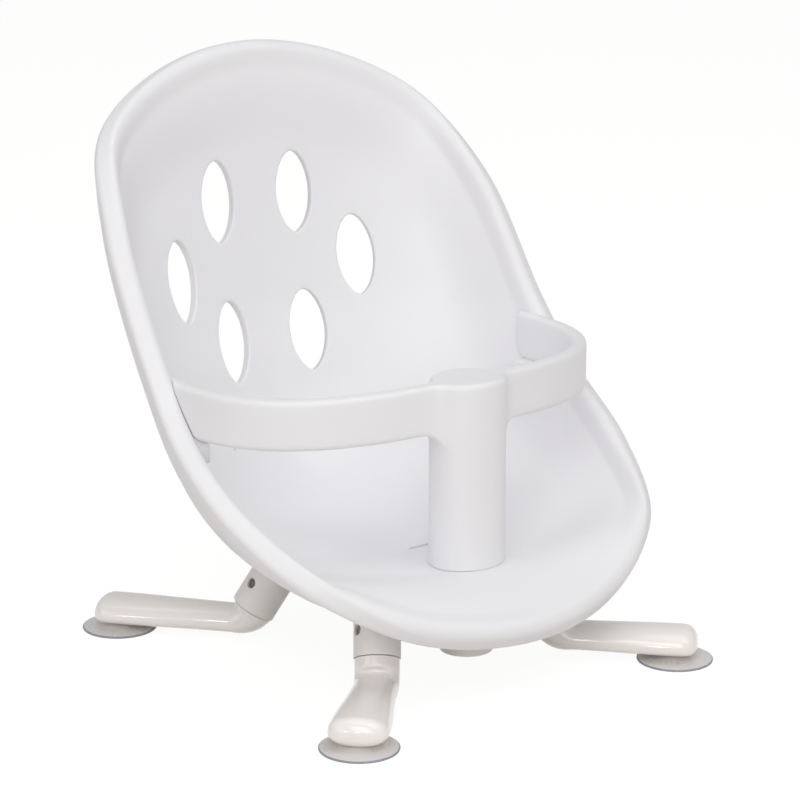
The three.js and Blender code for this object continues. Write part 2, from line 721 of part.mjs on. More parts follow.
function legBody({ kind, axis, elbow, arm, reach }) {
  const seam = elbow.clone().addScaledVector(axis, kind.seam - SEAM / 2);
  const bend = new THREE.QuadraticBezierCurve3(
    elbow.clone().addScaledVector(axis, ELBOW_REACH - SEAM),
    elbow,
    elbow.clone().addScaledVector(arm, ELBOW_REACH),
  );
  const down = axis.clone().negate();
  const neck = LEG_RADIUS - NECK_STEP;
  const rings = [legRing(seam, down, neck, neck, 2)];
  const bendSteps = 5;
  for (let i = 0; i <= bendSteps; i++) {
    const share = i / bendSteps;
    rings.push(legRing(
      bend.getPoint(share),
      bend.getTangent(share),
      neck,
      THREE.MathUtils.lerp(neck, ARM_HEIGHT / 2, share),
      THREE.MathUtils.lerp(2, 2.5, share),
    ));
  }
  const full = reach + TOE_BEYOND_CUP;
  const toeHalf = TOE_WIDTH / 2;
  const shoulder = full - TOE_LENGTH;
  const widthAt = (along) => THREE.MathUtils.lerp(
    neck, toeHalf, THREE.MathUtils.smoothstep(along, ELBOW_REACH, shoulder));
  const armRing = (along, width, top, foot) => rings.push(legRing(
    elbow.clone().addScaledVector(arm, along).add(new THREE.Vector3(0, 0, (top + foot) / 2)),
    arm, width, (top - foot) / 2, 2.5));
  [0.35, 0.7].forEach((share) => {
    const along = THREE.MathUtils.lerp(ELBOW_REACH, shoulder, share);
    armRing(along, widthAt(along), ARM_HEIGHT / 2, -ARM_HEIGHT / 2);
  });
  const rounded = (beyond, radius) => {
    const into = Math.min(radius, Math.max(0, beyond - (TOE_LENGTH - radius)));
    return ARM_HEIGHT / 2 - radius + Math.sqrt(radius ** 2 - into ** 2);
  };
  [0, 20, 38, 54, 68, 81].forEach((degrees) => {
    const angle = THREE.MathUtils.degToRad(degrees);
    const beyond = TOE_LENGTH * Math.sin(angle) ** (2 / TOE_SQUARENESS);
    const width = toeHalf * Math.cos(angle) ** (2 / TOE_SQUARENESS);
    armRing(shoulder + beyond, width, rounded(beyond, TOE_BROW), -rounded(beyond, TOE_CHIN));
  });
  return loft(rings);
}

const SPIGOT_GAP = RUNNING / 2;
const LEG_BORE = LEG_RADIUS - LEG_SOCKET_WALL;
const LEG_SPIGOT_RADIUS = LEG_BORE - SPIGOT_GAP;
const LEG_SPIGOT_BORE = LEG_SPIGOT_RADIUS - LEG_SPIGOT_WALL;

function legSolid(leg) {
  const { kind, axis, elbow, press, lock, cup } = leg;
  const spigot = rod(elbow, axis, LEG_SPIGOT_RADIUS, kind.seam - 2, kind.seam + LEG_SPIGOT_LENGTH);
  const bore = rod(elbow, axis, LEG_SPIGOT_BORE, kind.seam + 1, kind.seam + LEG_SPIGOT_LENGTH + 1);
  const lockHole = rod(lock, press, BUTTON_RADIUS + GAP, 0, LEG_RADIUS, 12);
  const stemHole = rod(cup, UP, CUP_STEM_RADIUS + GAP, 0, cupTop() + CUP_STEM_HEIGHT + GAP, 20);
  return legBody(leg).add(spigot).subtract(bore).subtract(lockHole).subtract(stemHole);
}

// Push button in each leg's spigot, and the bent leaf spring behind it
function buttonSolid({ press, lock }) {
  const seat = LEG_SPIGOT_BORE - GAP;
  const tip = LEG_RADIUS - BUTTON_RECESS;
  const flange = BUTTON_RADIUS + BUTTON_FLANGE_STEP;
  const inner = Math.sqrt(seat ** 2 - flange ** 2);
  return revolved([
    [0, inner - BUTTON_FLANGE],
    [flange, inner - BUTTON_FLANGE],
    [flange, inner],
    [BUTTON_RADIUS, inner],
    [BUTTON_RADIUS, tip - 1],
    [BUTTON_RADIUS - 1, tip],
    [0, tip],
  ], standing(lock, press), 12);
}

function clipSolid({ axis, press, lock }) {
  const flange = BUTTON_RADIUS + BUTTON_FLANGE_STEP;
  const front = Math.sqrt((LEG_SPIGOT_BORE - GAP) ** 2 - flange ** 2) - BUTTON_FLANGE - GAP;
  const back = -Math.sqrt((LEG_SPIGOT_BORE - GAP) ** 2 - (CLIP_WIDTH / 2) ** 2);
  const t = CLIP_THICKNESS;
  const above = BUTTON_RADIUS + BUTTON_FLANGE_STEP;
  const foot = above - CLIP_LENGTH + (front - back) / 2;
  const middle = (front + back) / 2;
  const r = (front - back) / 2;
  const shape = new THREE.Shape();
  shape.moveTo(front, above);
  shape.lineTo(front - t, above);
  shape.absarc(middle, foot, r - t, 0, Math.PI, true);
  shape.lineTo(back + t, above);
  shape.lineTo(back, above);
  shape.absarc(middle, foot, r, Math.PI, 2 * Math.PI, false);
  const across = new THREE.Vector3().crossVectors(press, axis);
  const matrix = new THREE.Matrix4().makeBasis(press, axis, across)
    .setPosition(lock.clone().addScaledVector(across, -CLIP_WIDTH / 2));
  return prism(shape, CLIP_WIDTH, matrix, 4);
}

// Base under the seat: a plate against the shell, sockets for the legs and the post, and ribs

function screwPlaces() {
  return [SCREW_FRONT_Y, SCREW_REAR_Y].flatMap((y) =>
    [SCREW_X, -SCREW_X].map((x) => floorAt(x, y)));
}

function screwHeadZ(point) {
  return point.z - BASE_PLATE - SCREW_BOSS_DROP;
}

function basePlate(bowlBelow) {
  const [w, r] = [BASE_HALF_WIDTH, BASE_CORNER];
  const shape = new THREE.Shape();
  shape.absarc(w - r, BASE_REAR_Y - r, r, 0, Math.PI / 2, false);
  shape.absarc(r - w, BASE_REAR_Y - r, r, Math.PI / 2, Math.PI, false);
  shape.absarc(r - w, BASE_FRONT_Y + r, r, Math.PI, 1.5 * Math.PI, false);
  shape.absarc(w - r, BASE_FRONT_Y + r, r, 1.5 * Math.PI, 2 * Math.PI, false);
  const column = prism(shape, BACK_TOP_Z / 2, new THREE.Matrix4());
  return column.intersect(bowlBelow);
}

function rib(from, to, bottom) {
  const run = new THREE.Vector3().subVectors(to, from).setZ(0);
  const aside = new THREE.Vector3(-run.y, run.x, 0).normalize().multiplyScalar(BASE_RIB / 2);
  const shape = new THREE.Shape([[1, from], [1, to], [-1, to], [-1, from]].map(([sign, p]) =>
    new THREE.Vector2(p.x - sign * aside.x, p.y - sign * aside.y)));
  const top = floorTopZ + WALL;
  return prism(shape, top - bottom, new THREE.Matrix4().makeTranslation(0, 0, bottom));
}

function seatBase() {
  const under = bowlSolid(GAP);
  const post = new THREE.Vector3(0, POST_Y, 0);
  const socketOuter = SPIGOT_RADIUS + RUNNING + SOCKET_WALL;
  const ceiling = floorAtPost.point.z + WALL;
  const plate = basePlate(under.translate([0, 0, -BASE_PLATE]));
  const legTubes = legs.map(({ elbow, axis, kind }) =>
    rod(elbow, axis, LEG_RADIUS, kind.seam + SEAM / 2, BACK_TOP_Z / 4));
  const entries = legs.map(({ elbow, axis }) =>
    elbow.clone().addScaledVector(axis, (ceiling - WALL - elbow.z) / axis.z));
  const ribBottom = floorAtPost.point.z - BASE_PLATE - BASE_RIB_DEPTH;
  const ribs = entries.map((entry) => rib(entry, new THREE.Vector3(0, entry.y / 2, 0), ribBottom));
  const spine = rib(post, new THREE.Vector3(0, entries[2].y / 2, 0), ribBottom);
  const bosses = screwPlaces().map(({ point }) =>
    rod(point, UP, SCREW_BOSS_RADIUS, -BASE_PLATE - SCREW_BOSS_DROP, 0, 12));
  const solid = union([
    plate,
    ...legTubes,
    ...ribs,
    spine,
    rod(post, UP, socketOuter, SOCKET_BOTTOM_Z, ceiling, 24),
    ...bosses,
  ]).subtract(under);
  const bores = legs.flatMap(({ elbow, axis, kind, lock, press }) => [
    rod(elbow, axis, LEG_BORE, kind.seam - 1, kind.seam + LEG_SPIGOT_LENGTH + 1.5),
    rod(lock, press, BUTTON_RADIUS + GAP, 0, LEG_RADIUS + 2, 12),
  ]);
  const postBore = rod(post, UP, SPIGOT_RADIUS + RUNNING, SOCKET_BOTTOM_Z + SOCKET_FLOOR, ceiling, 24);
  const buttonHole = rod(post, UP, RELEASE_RADIUS + RUNNING, 0, ceiling, 20);
  const screwHoles = screwPlaces().map(({ point }) =>
    rod(point, UP, SCREW_SHANK_RADIUS + GAP, -BASE_PLATE - SCREW_BOSS_DROP - 1, 1, 10));
  return [...bores, postBore, buttonHole, ...screwHoles].reduce(
    (base, cut) => base.subtract(cut), solid);
}

function screwSolid({ point }) {
  const head = screwHeadZ(point) - point.z - GAP;
  return revolved([
    [0, head - SCREW_HEAD_HEIGHT],
    [SCREW_HEAD_RADIUS - 1, head - SCREW_HEAD_HEIGHT],
    [SCREW_HEAD_RADIUS, head - SCREW_HEAD_HEIGHT + 1],
    [SCREW_HEAD_RADIUS, head],
    [SCREW_SHANK_RADIUS, head],
    [SCREW_SHANK_RADIUS, SCREW_BITE],
    [0, SCREW_BITE],
  ], standing(point, UP), 10);
}

// Suction cups: a thin dished disc with a stem pressed into the toe of each leg

function cupTop() {
  return ARM_CENTRE_Z - ARM_HEIGHT / 2 - GAP;
}

function cupSolid({ cup }) {
  const top = cupTop();
  const foot = 1.6;
  return revolved([
    [0, top + CUP_STEM_HEIGHT],
    [CUP_STEM_RADIUS - 1, top + CUP_STEM_HEIGHT],
    [CUP_STEM_RADIUS, top + CUP_STEM_HEIGHT - 1],
    [CUP_STEM_RADIUS, top],
    [CUP_STEM_RADIUS * 1.6, top],
    [CUP_RADIUS * 0.72, CUP_LIP * 2],
    [CUP_RADIUS, CUP_LIP],
    [CUP_RADIUS, 0],
    [CUP_RADIUS - foot, 0],
    [CUP_RADIUS * 0.6, CUP_LIP * 1.1],
    [0, top * 0.55],
  ], standing(cup, UP), 20);
}

// Finishes

const finishes = {
  shell: { color: 0xe9eaea, roughness: 0.55, metalness: 0 },
  bar: { color: 0xeaebeb, roughness: 0.5, metalness: 0 },
  base: { color: 0xd2cfcb, roughness: 0.6, metalness: 0 },
  leg: { color: 0xe6dfd5, roughness: 0.22, metalness: 0 },
  cup: { color: 0xb4bccb, roughness: 0.25, metalness: 0 },
  button: { color: 0xc9c9cc, roughness: 0.35, metalness: 0.6 },
  steel: { color: 0xb8babd, roughness: 0.35, metalness: 1 },
};

const seat = new THREE.Group();
seat.position.y = -ORIGIN_Y;

function place(name, finish, solid) {
  const mesh = new THREE.Mesh(geometryOf(solid), new THREE.MeshStandardMaterial(finishes[finish]));
  mesh.name = name;
  seat.add(mesh);
}

place('seat_shell', 'shell', seatShell());
place('seat_base', 'base', seatBase());
place('waist_bar', 'bar', waistBar());
place('waist_bar_release_button', 'button', releaseButton());
screwPlaces().forEach((spot, i) => place(`base_screw_${i + 1}`, 'steel', screwSolid(spot)));
for (const leg of legs) {
  place(`leg_${leg.name}`, 'leg', legSolid(leg));
  place(`lock_button_${leg.name}`, 'button', buttonSolid(leg));
  place(`lock_spring_${leg.name}`, 'steel', clipSolid(leg));
  place(`suction_cup_${leg.name}`, 'cup', cupSolid(leg));
}

const model = new THREE.Group();
model.add(seat);

export default model;
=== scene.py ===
"""Looks for a baby bath seat: a moulded bucket shell, a drop-in waist bar, and four legs on suction cups.

Sizes inside the classes are millimetres in the seat's own frame: +X the child's left, -Y the way the
child faces, z = 0 the bath floor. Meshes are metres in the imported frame, which lies ORIGIN_Y further back.
"""

import logging
import math
from dataclasses import dataclass, field
from enum import Enum
from typing import Callable, Optional, Sequence

import bmesh
import bpy
import numpy as np
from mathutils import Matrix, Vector
from mathutils.bvhtree import BVHTree


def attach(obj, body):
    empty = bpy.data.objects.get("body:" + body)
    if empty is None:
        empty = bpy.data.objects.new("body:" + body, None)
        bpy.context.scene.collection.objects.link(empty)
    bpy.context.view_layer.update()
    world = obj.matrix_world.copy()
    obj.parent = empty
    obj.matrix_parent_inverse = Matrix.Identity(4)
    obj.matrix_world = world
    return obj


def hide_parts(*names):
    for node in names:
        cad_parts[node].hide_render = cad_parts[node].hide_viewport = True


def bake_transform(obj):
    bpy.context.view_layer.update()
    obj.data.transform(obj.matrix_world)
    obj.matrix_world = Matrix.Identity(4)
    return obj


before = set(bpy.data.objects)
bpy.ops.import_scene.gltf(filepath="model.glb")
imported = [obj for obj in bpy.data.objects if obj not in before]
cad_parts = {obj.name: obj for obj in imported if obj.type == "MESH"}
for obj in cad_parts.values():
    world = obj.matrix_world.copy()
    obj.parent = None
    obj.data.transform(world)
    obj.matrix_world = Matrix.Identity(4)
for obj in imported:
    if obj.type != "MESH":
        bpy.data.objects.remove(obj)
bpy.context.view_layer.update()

log = logging.getLogger("bath_seat")

# A millimetre in metres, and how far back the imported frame's origin lies in millimetres
MM = 0.001
ORIGIN_Y = 9.5
UP = np.array([0.0, 0.0, 1.0])
# The gap between pieces that are fixed, and the play between pieces that slide, in millimetres
GAP = 0.3
RUNNING = 0.4
# The distances in metres under which points are merged
DOUBLES = 1e-7
WELD = 1e-6
SETTLE_FACTOR = 0.5
# Where the bar's post stands, and the bore that it drops into
POST_Y = -77.0
POST_BORE = 13.4
WHITE = (1.0, 1.0, 1.0)
SEAT_BODY = "seat"
CORNERS = ("front_left", "front_right", "rear_left", "rear_right")


# Meshes


class Cut(Enum):
    """The ways that one solid is combined with others."""

    JOIN = "UNION"
    TAKE_AWAY = "DIFFERENCE"
    KEEP_SHARED = "INTERSECT"


def packed(points: np.ndarray) -> np.ndarray:
    """Turns millimetres in the seat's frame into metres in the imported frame."""
    return (np.asarray(points, float) - np.array([0.0, ORIGIN_Y, 0.0])) * MM


@dataclass
class Form:
    """A mesh in millimetres, in the seat's frame."""

    points: np.ndarray
    faces: list[tuple[int, ...]]

    def piece(self, name: str) -> bpy.types.Object:
        """Puts the form in the scene.

        Args:
            name: The object's name.

        Returns:
            The new object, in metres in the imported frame, with its faces outward.
        """
        mesh = bpy.data.meshes.new(name)
        mesh.from_pydata(packed(self.points).tolist(), [], self.faces)
        mesh.update()
        made = bpy.data.objects.new(name, mesh)
        bpy.context.scene.collection.objects.link(made)
        face_outward(mesh)
        return made


def face_outward(mesh: bpy.types.Mesh) -> None:
    """Merges doubles and turns a closed mesh's faces outward.

    Args:
        mesh: The mesh to mend.
    """
    work = bmesh.new()
    work.from_mesh(mesh)
    bmesh.ops.remove_doubles(work, verts=work.verts, dist=DOUBLES)
    wide = [face for face in work.faces if len(face.verts) > 4]
    bmesh.ops.triangulate(work, faces=wide, ngon_method="EAR_CLIP")
    bmesh.ops.recalc_face_normals(work, faces=work.faces)
    if work.calc_volume(signed=True) < 0:
        bmesh.ops.reverse_faces(work, faces=work.faces)
    work.to_mesh(mesh)
    work.free()


def evaluated(piece: bpy.types.Object) -> bpy.types.Object:
    """Turns a piece's modifiers into its mesh.

    Args:
        piece: The object with modifiers.

    Returns:
        The same object, with a plain mesh and no modifiers.
    """
    bpy.context.view_layer.update()
    graph = bpy.context.evaluated_depsgraph_get()
    mesh = bpy.data.meshes.new_from_object(piece.evaluated_get(graph))
    piece.modifiers.clear()
    old, piece.data = piece.data, mesh
    bpy.data.meshes.remove(old)
    return piece


def combined(
    piece: bpy.types.Object, others: Sequence[bpy.types.Object], way: Cut
) -> bpy.types.Object:
    """Combines a solid with others, which are used up.

    Args:
        piece: The solid that is changed.
        others: The solids that change it.
        way: How they are combined.

    Returns:
        The changed piece.
    """
    for other in others:
        step = piece.modifiers.new("cut", "BOOLEAN")
        step.operation = way.value
        step.solver = "MANIFOLD"
        step.object = other
    evaluated(piece)
    for other in others:
        mesh = other.data
        bpy.data.objects.remove(other)
        bpy.data.meshes.remove(mesh)
    return piece


def largest_part(piece: bpy.types.Object) -> None:
    """Keeps a mesh's largest connected part.

    Args:
        piece: The object whose loose parts go.
    """
    work = bmesh.new()
    work.from_mesh(piece.data)
    seen: set[bmesh.types.BMVert] = set()
    parts: list[set[bmesh.types.BMVert]] = []
    for start in work.verts:
        if start in seen:
            continue
        part, ahead = {start}, [start]
        while ahead:
            vert = ahead.pop()
            for edge in vert.link_edges:
                other = edge.other_vert(vert)
                if other not in part:
                    part.add(other)
                    ahead.append(other)
        seen |= part
        parts.append(part)
    keep = max(parts, key=len)
    bmesh.ops.delete(work, geom=[v for v in work.verts if v not in keep], context="VERTS")
    work.to_mesh(piece.data)
    work.free()


def melted(piece: bpy.types.Object, voxel: float, settle: int) -> bpy.types.Object:
    """Melts the sharp joins of a blank, as the mould's own radii do.

    Args:
        piece: The blank.
        voxel: The size of the new skin's faces, in millimetres.
        settle: How often the skin is smoothed.

    Returns:
        The same object.
    """
    remesh = piece.modifiers.new("skin", "REMESH")
    remesh.mode = "VOXEL"
    remesh.voxel_size = voxel * MM
    remesh.use_smooth_shade = True
    evaluated(piece)
    smooth = piece.modifiers.new("settle", "SMOOTH")
    smooth.factor = SETTLE_FACTOR
    smooth.iterations = settle
    return evaluated(piece)


def shaded(piece: bpy.types.Object, sharp_over: float = 38.0) -> bpy.types.Object:
    """Shades a piece smooth, with its sharper edges kept crisp.

    Args:
        piece: The object to shade.
        sharp_over: The angle between faces, in degrees, past which an edge is crisp.

    Returns:
        The same object.
    """
    work = bmesh.new()
    work.from_mesh(piece.data)
    limit = math.radians(sharp_over)
    for face in work.faces:
        face.smooth = True
    for edge in work.edges:
        edge.smooth = not edge.is_manifold or edge.calc_face_angle(0.0) < limit
    work.to_mesh(piece.data)
    work.free()
    return piece


def loft(rings: Sequence[np.ndarray], close_ends: bool = True) -> Form:
    """Joins closed rings of points by quads, with fans over the ends.

    Args:
        rings: Rings of the same number of points, each N by 3.
        close_ends: Whether the first and last ring are covered.

    Returns:
        The form.
    """
    count = len(rings[0])
    points = np.concatenate(rings)
    faces: list[tuple[int, ...]] = []
    for i in range(len(rings) - 1):
        low, high = i * count, (i + 1) * count
        for j in range(count):
            k = (j + 1) % count
            faces.append((low + j, low + k, high + k, high + j))
    if close_ends:
        for start in (0, (len(rings) - 1) * count):
            middle = len(points)
            points = np.vstack([points, points[start:start + count].mean(0)])
            faces.extend((middle, start + (j + 1) % count, start + j) for j in range(count))
    return Form(points, faces)


def unit(vector: np.ndarray) -> np.ndarray:
    """Scales vectors to length one, along their last axis."""
    return vector / np.linalg.norm(vector, axis=-1, keepdims=True)


def standing(origin: np.ndarray, axis: np.ndarray) -> np.ndarray:
    """Axes that stand a shape's own z along a direction, with its own y as near up as it can be.

    Args:
        origin: Where the shape's origin goes.
        axis: Where its z points.

    Returns:
        A 4 by 4 matrix.
    """
    z = unit(np.asarray(axis, float))
    hint = np.array([0.0, 1.0, 0.0]) if abs(z[2]) > 0.999 else UP
    x = unit(np.cross(hint, z))
    placed = np.eye(4)
    placed[:3, :3] = np.stack([x, np.cross(z, x), z], 1)
    placed[:3, 3] = origin
    return placed


def moved(points: np.ndarray, matrix: np.ndarray) -> np.ndarray:
    """Applies a 4 by 4 matrix to points, N by 3."""
    return points @ matrix[:3, :3].T + matrix[:3, 3]


def revolved(profile: Sequence[tuple[float, float]], matrix: np.ndarray, steps: int = 64) -> Form:
    """Turns a profile of radius and height round an axis.

    Args:
        profile: Points from the axis, round the outside, back to the axis.
        matrix: Where it stands.
        steps: The number of facets round.

    Returns:
        The form.
    """
    angles = np.arange(steps) * 2 * math.pi / steps
    rings = [
        np.stack([r * np.cos(angles), r * np.sin(angles), np.full(steps, h)], 1)
        for r, h in profile
        if r > 0
    ]
    form = loft(rings)
    form.points[-2] = [0.0, 0.0, profile[0][1]]
    form.points[-1] = [0.0, 0.0, profile[-1][1]]
    return Form(moved(form.points, matrix), form.faces)


def rod(
    origin: np.ndarray, axis: np.ndarray, radius: float, low: float, high: float, steps: int = 64
) -> Form:
    """A round bar along an axis, between two distances from a point."""
    profile = [(0.0, low), (radius, low), (radius, high), (0.0, high)]
    return revolved(profile, standing(origin, axis), steps)


def prism(outline: np.ndarray, low: float, high: float, matrix: np.ndarray) -> Form:
    """A flat outline made thick along its own z.

    Args:
        outline: Points of the outline, N by 2.
        low: Where it starts along z.
        high: Where it ends.
        matrix: Where it stands.

    Returns:
        The form.
    """
    rings = [np.column_stack([outline, np.full(len(outline), h)]) for h in (low, high)]
    count = len(outline)
    points = moved(np.concatenate(rings), matrix)
    faces: list[tuple[int, ...]] = [
        (j, (j + 1) % count, count + (j + 1) % count, count + j) for j in range(count)
    ]
    faces += [tuple(range(count))[::-1], tuple(range(count, 2 * count))]
    return Form(points, faces)


def facing_side(side: int, start: float) -> np.ndarray:
    """Axes that stand an outline of y and z upright, facing one side from a place in x."""
    return np.array([[0, 0, side, side * start], [1, 0, 0, 0], [0, 1, 0, 0], [0, 0, 0, 1.0]])


def arc(
    centre: tuple[float, float], radius: float, start: float, end: float, steps: int
) -> np.ndarray:
    """Points of a circle's arc, from one angle in degrees to another."""
    angles = np.radians(np.linspace(start, end, steps + 1))
    return np.stack([centre[0] + radius * np.cos(angles), centre[1] + radius * np.sin(angles)], 1)


def smoothstep(value: np.ndarray, low: float, high: float) -> np.ndarray:
    """A smooth rise from 0 at low to 1 at high."""
    t = np.clip((value - low) / (high - low), 0.0, 1.0)
    return t * t * (3 - 2 * t)


class SmoothCurve:
    """A centripetal curve through points, measured along its length."""

    def __init__(self, points: Sequence[Sequence[float]], closed: bool, samples: int = 8000) -> None:
        """Samples the curve.

        Args:
            points: The points it goes through.
            closed: Whether it comes back to its first point.
            samples: How finely it is measured.
        """
        given = np.asarray(points, float)
        count = len(given)
        spans = count if closed else count - 1
        place = np.linspace(0, spans, samples + 1)
        index = np.minimum(place.astype(int), spans - 1)
        w = (place - index)[:, None]
        longer = np.vstack([2 * given[0] - given[1], given, 2 * given[-1] - given[-2]])

        def pick(k: np.ndarray) -> np.ndarray:
            """The points at whole places along the curve."""
            return given[k % count] if closed else longer[k + 1]

        a, b, c, d = pick(index - 1), pick(index), pick(index + 1), pick(index + 2)

        def stride(p: np.ndarray, q: np.ndarray) -> np.ndarray:
            """The centripetal distances between points."""
            return np.sqrt(np.linalg.norm(p - q, axis=1, keepdims=True))

        ab, bc, cd = stride(a, b), stride(b, c), stride(c, d)
        leave = ((b - a) / ab - (c - a) / (ab + bc) + (c - b) / bc) * bc
        reach = ((c - b) / bc - (d - b) / (bc + cd) + (d - c) / cd) * bc
        self.path = (
            b + leave * w
            + (3 * (c - b) - 2 * leave - reach) * w ** 2
            + (2 * (b - c) + leave + reach) * w ** 3
        )
        steps = np.linalg.norm(np.diff(self.path, axis=0), axis=1)
        self.walked = np.concatenate([[0.0], np.cumsum(steps)])

    def at(self, share: np.ndarray) -> np.ndarray:
        """Points at shares of the curve's length."""
        distance = np.asarray(share) * self.walked[-1]
        return np.stack([np.interp(distance, self.walked, self.path[:, k]) for k in range(3)], -1)


# The seat's surface


class Meet(Enum):
    """The coordinate that a spot on the bowl is found by: a y on the floor, or a z on the back."""

    FLOOR_Y = 1
    BACK_Z = 2


@dataclass
class Bowl:
    """The shell's outer surface: a bowl over a unit disc, whose edge is the rim."""

    width: float = 329.0
    back_top: tuple[float, float] = (179.0, 378.5)
    lip: tuple[float, float] = (-145.5, 42.0)
    back_squareness: float = 1.8
    back_from: float = 0.65
    hip_squareness: float = 1.52
    floor_squareness: float = 2.7
    floor_span: tuple[float, float] = (-0.97, 0.1)
    back_span: tuple[float, float] = (-0.2, 0.97)
    halvings: int = 40
    step_aside: float = 0.5
    step_along: float = 0.002
    rim_course: tuple[tuple[float, float, float], ...] = (
        (0, 1, 1), (0.432, 0.972, 0.964), (0.79, 0.892, 0.87), (0.942, 0.75, 0.722),
        (0.985, 0.584, 0.485), (1, 0.467, 0.355), (0.979, 0.307, 0.246), (0.824, 0.136, 0.133),
        (0.462, 0.045, 0.028), (0, 0, 0),
    )
    middle_course: tuple[tuple[float, float], ...] = (
        (1, 1), (0.964, 0.85), (0.95, 0.692), (0.905, 0.411), (0.865, 0.262), (0.775, 0.147), (0.62, 0.094),
        (0.448, 0.084), (0.31, 0.087), (0.2, 0.0885), (0.145, 0.085), (0.07, 0.0435), (0, 0),
    )
    rim: SmoothCurve = field(init=False)
    middle: SmoothCurve = field(init=False)

    def __post_init__(self) -> None:
        """Draws the rim and the middle line."""
        left = [self.place(*course, side=1) for course in self.rim_course]
        right = [self.place(*course, side=-1) for course in self.rim_course[1:-1]]
        self.rim = SmoothCurve(left + right[::-1], closed=True)
        middle = [self.place(0, *course, side=1) for course in self.middle_course]
        self.middle = SmoothCurve(middle, closed=False)

    def place(self, out: float, back: float, up: float, side: int) -> list[float]:
        """A point from shares of the seat's width, depth and height.

        Args:
            out: The share of half the width.
            back: The share of the way from the lip to the top of the back.
            up: The share of the way from the lip's height to the top's.
            side: 1 for the child's left, -1 for the right.

        Returns:
            The point.
        """
        return [
            side * out * self.width / 2,
            self.lip[0] + back * (self.back_top[0] - self.lip[0]),
            self.lip[1] + up * (self.back_top[1] - self.lip[1]),
        ]

    def point(self, across: np.ndarray, along: np.ndarray) -> np.ndarray:
        """Points of the surface over the disc.

        Args:
            across: Places across the disc, -1 to 1.
            along: Places along it, from -1 at the lip to 1 at the top of the back.

        Returns:
            The points, with a last axis of 3.
        """
        along = np.clip(along, -1.0, 1.0)
        rim = self.rim.at(np.arccos(along) / (2 * math.pi))
        middle = self.middle.at((1 - along) / 2)
        nothing = 1e-18
        half = np.sqrt(np.maximum(1 - along ** 2, nothing))
        share = np.minimum(np.abs(across) / half, 1.0)
        limit = np.where(along > 0, self.back_squareness, self.floor_squareness)
        weight = smoothstep(np.abs(along) / np.where(along > 0, self.back_from, 1.0), 0.0, 1.0)
        power = self.hip_squareness + (limit - self.hip_squareness) * weight
        rise = 1 - (1 - share ** power) ** (1 / power)
        return np.stack([
            np.sign(across) * rim[..., 0] * share,
            middle[..., 1] + (rim[..., 1] - middle[..., 1]) * rise,
            middle[..., 2] + (rim[..., 2] - middle[..., 2]) * rise,
        ], -1)

    def facing(self, x: float, meet: Meet, value: float) -> tuple[np.ndarray, np.ndarray]:
        """The surface's point and inward normal at a given x, where another coordinate is met.

        Args:
            x: The place across the seat.
            meet: Which coordinate is met.
            value: The coordinate to meet.

        Returns:
            The point and the unit normal.
        """
        low, high = self.back_span if meet is Meet.BACK_Z else self.floor_span

        def spot(along: float, aside: float = 0.0) -> np.ndarray:
            """The surface's point at a place along the seat.

            Args:
                along: The place along the disc.
                aside: How far the point lies beside x.

            Returns:
                The point.
            """
            rim = self.rim.at(np.arccos(along) / (2 * math.pi))
            half = math.sqrt(1 - along * along)
            return self.point(np.array(half * (x + aside) / rim[0]), np.array(along))

        for _ in range(self.halvings):
            mid = (low + high) / 2
            if spot(mid)[meet.value] < value:
                low = mid
            else:
                high = mid
        along = (low + high) / 2
        sideways = spot(along, self.step_aside) - spot(along, -self.step_aside)
        lengthways = spot(along + self.step_along) - spot(along - self.step_along)
        return spot(along), unit(np.cross(sideways, lengthways))


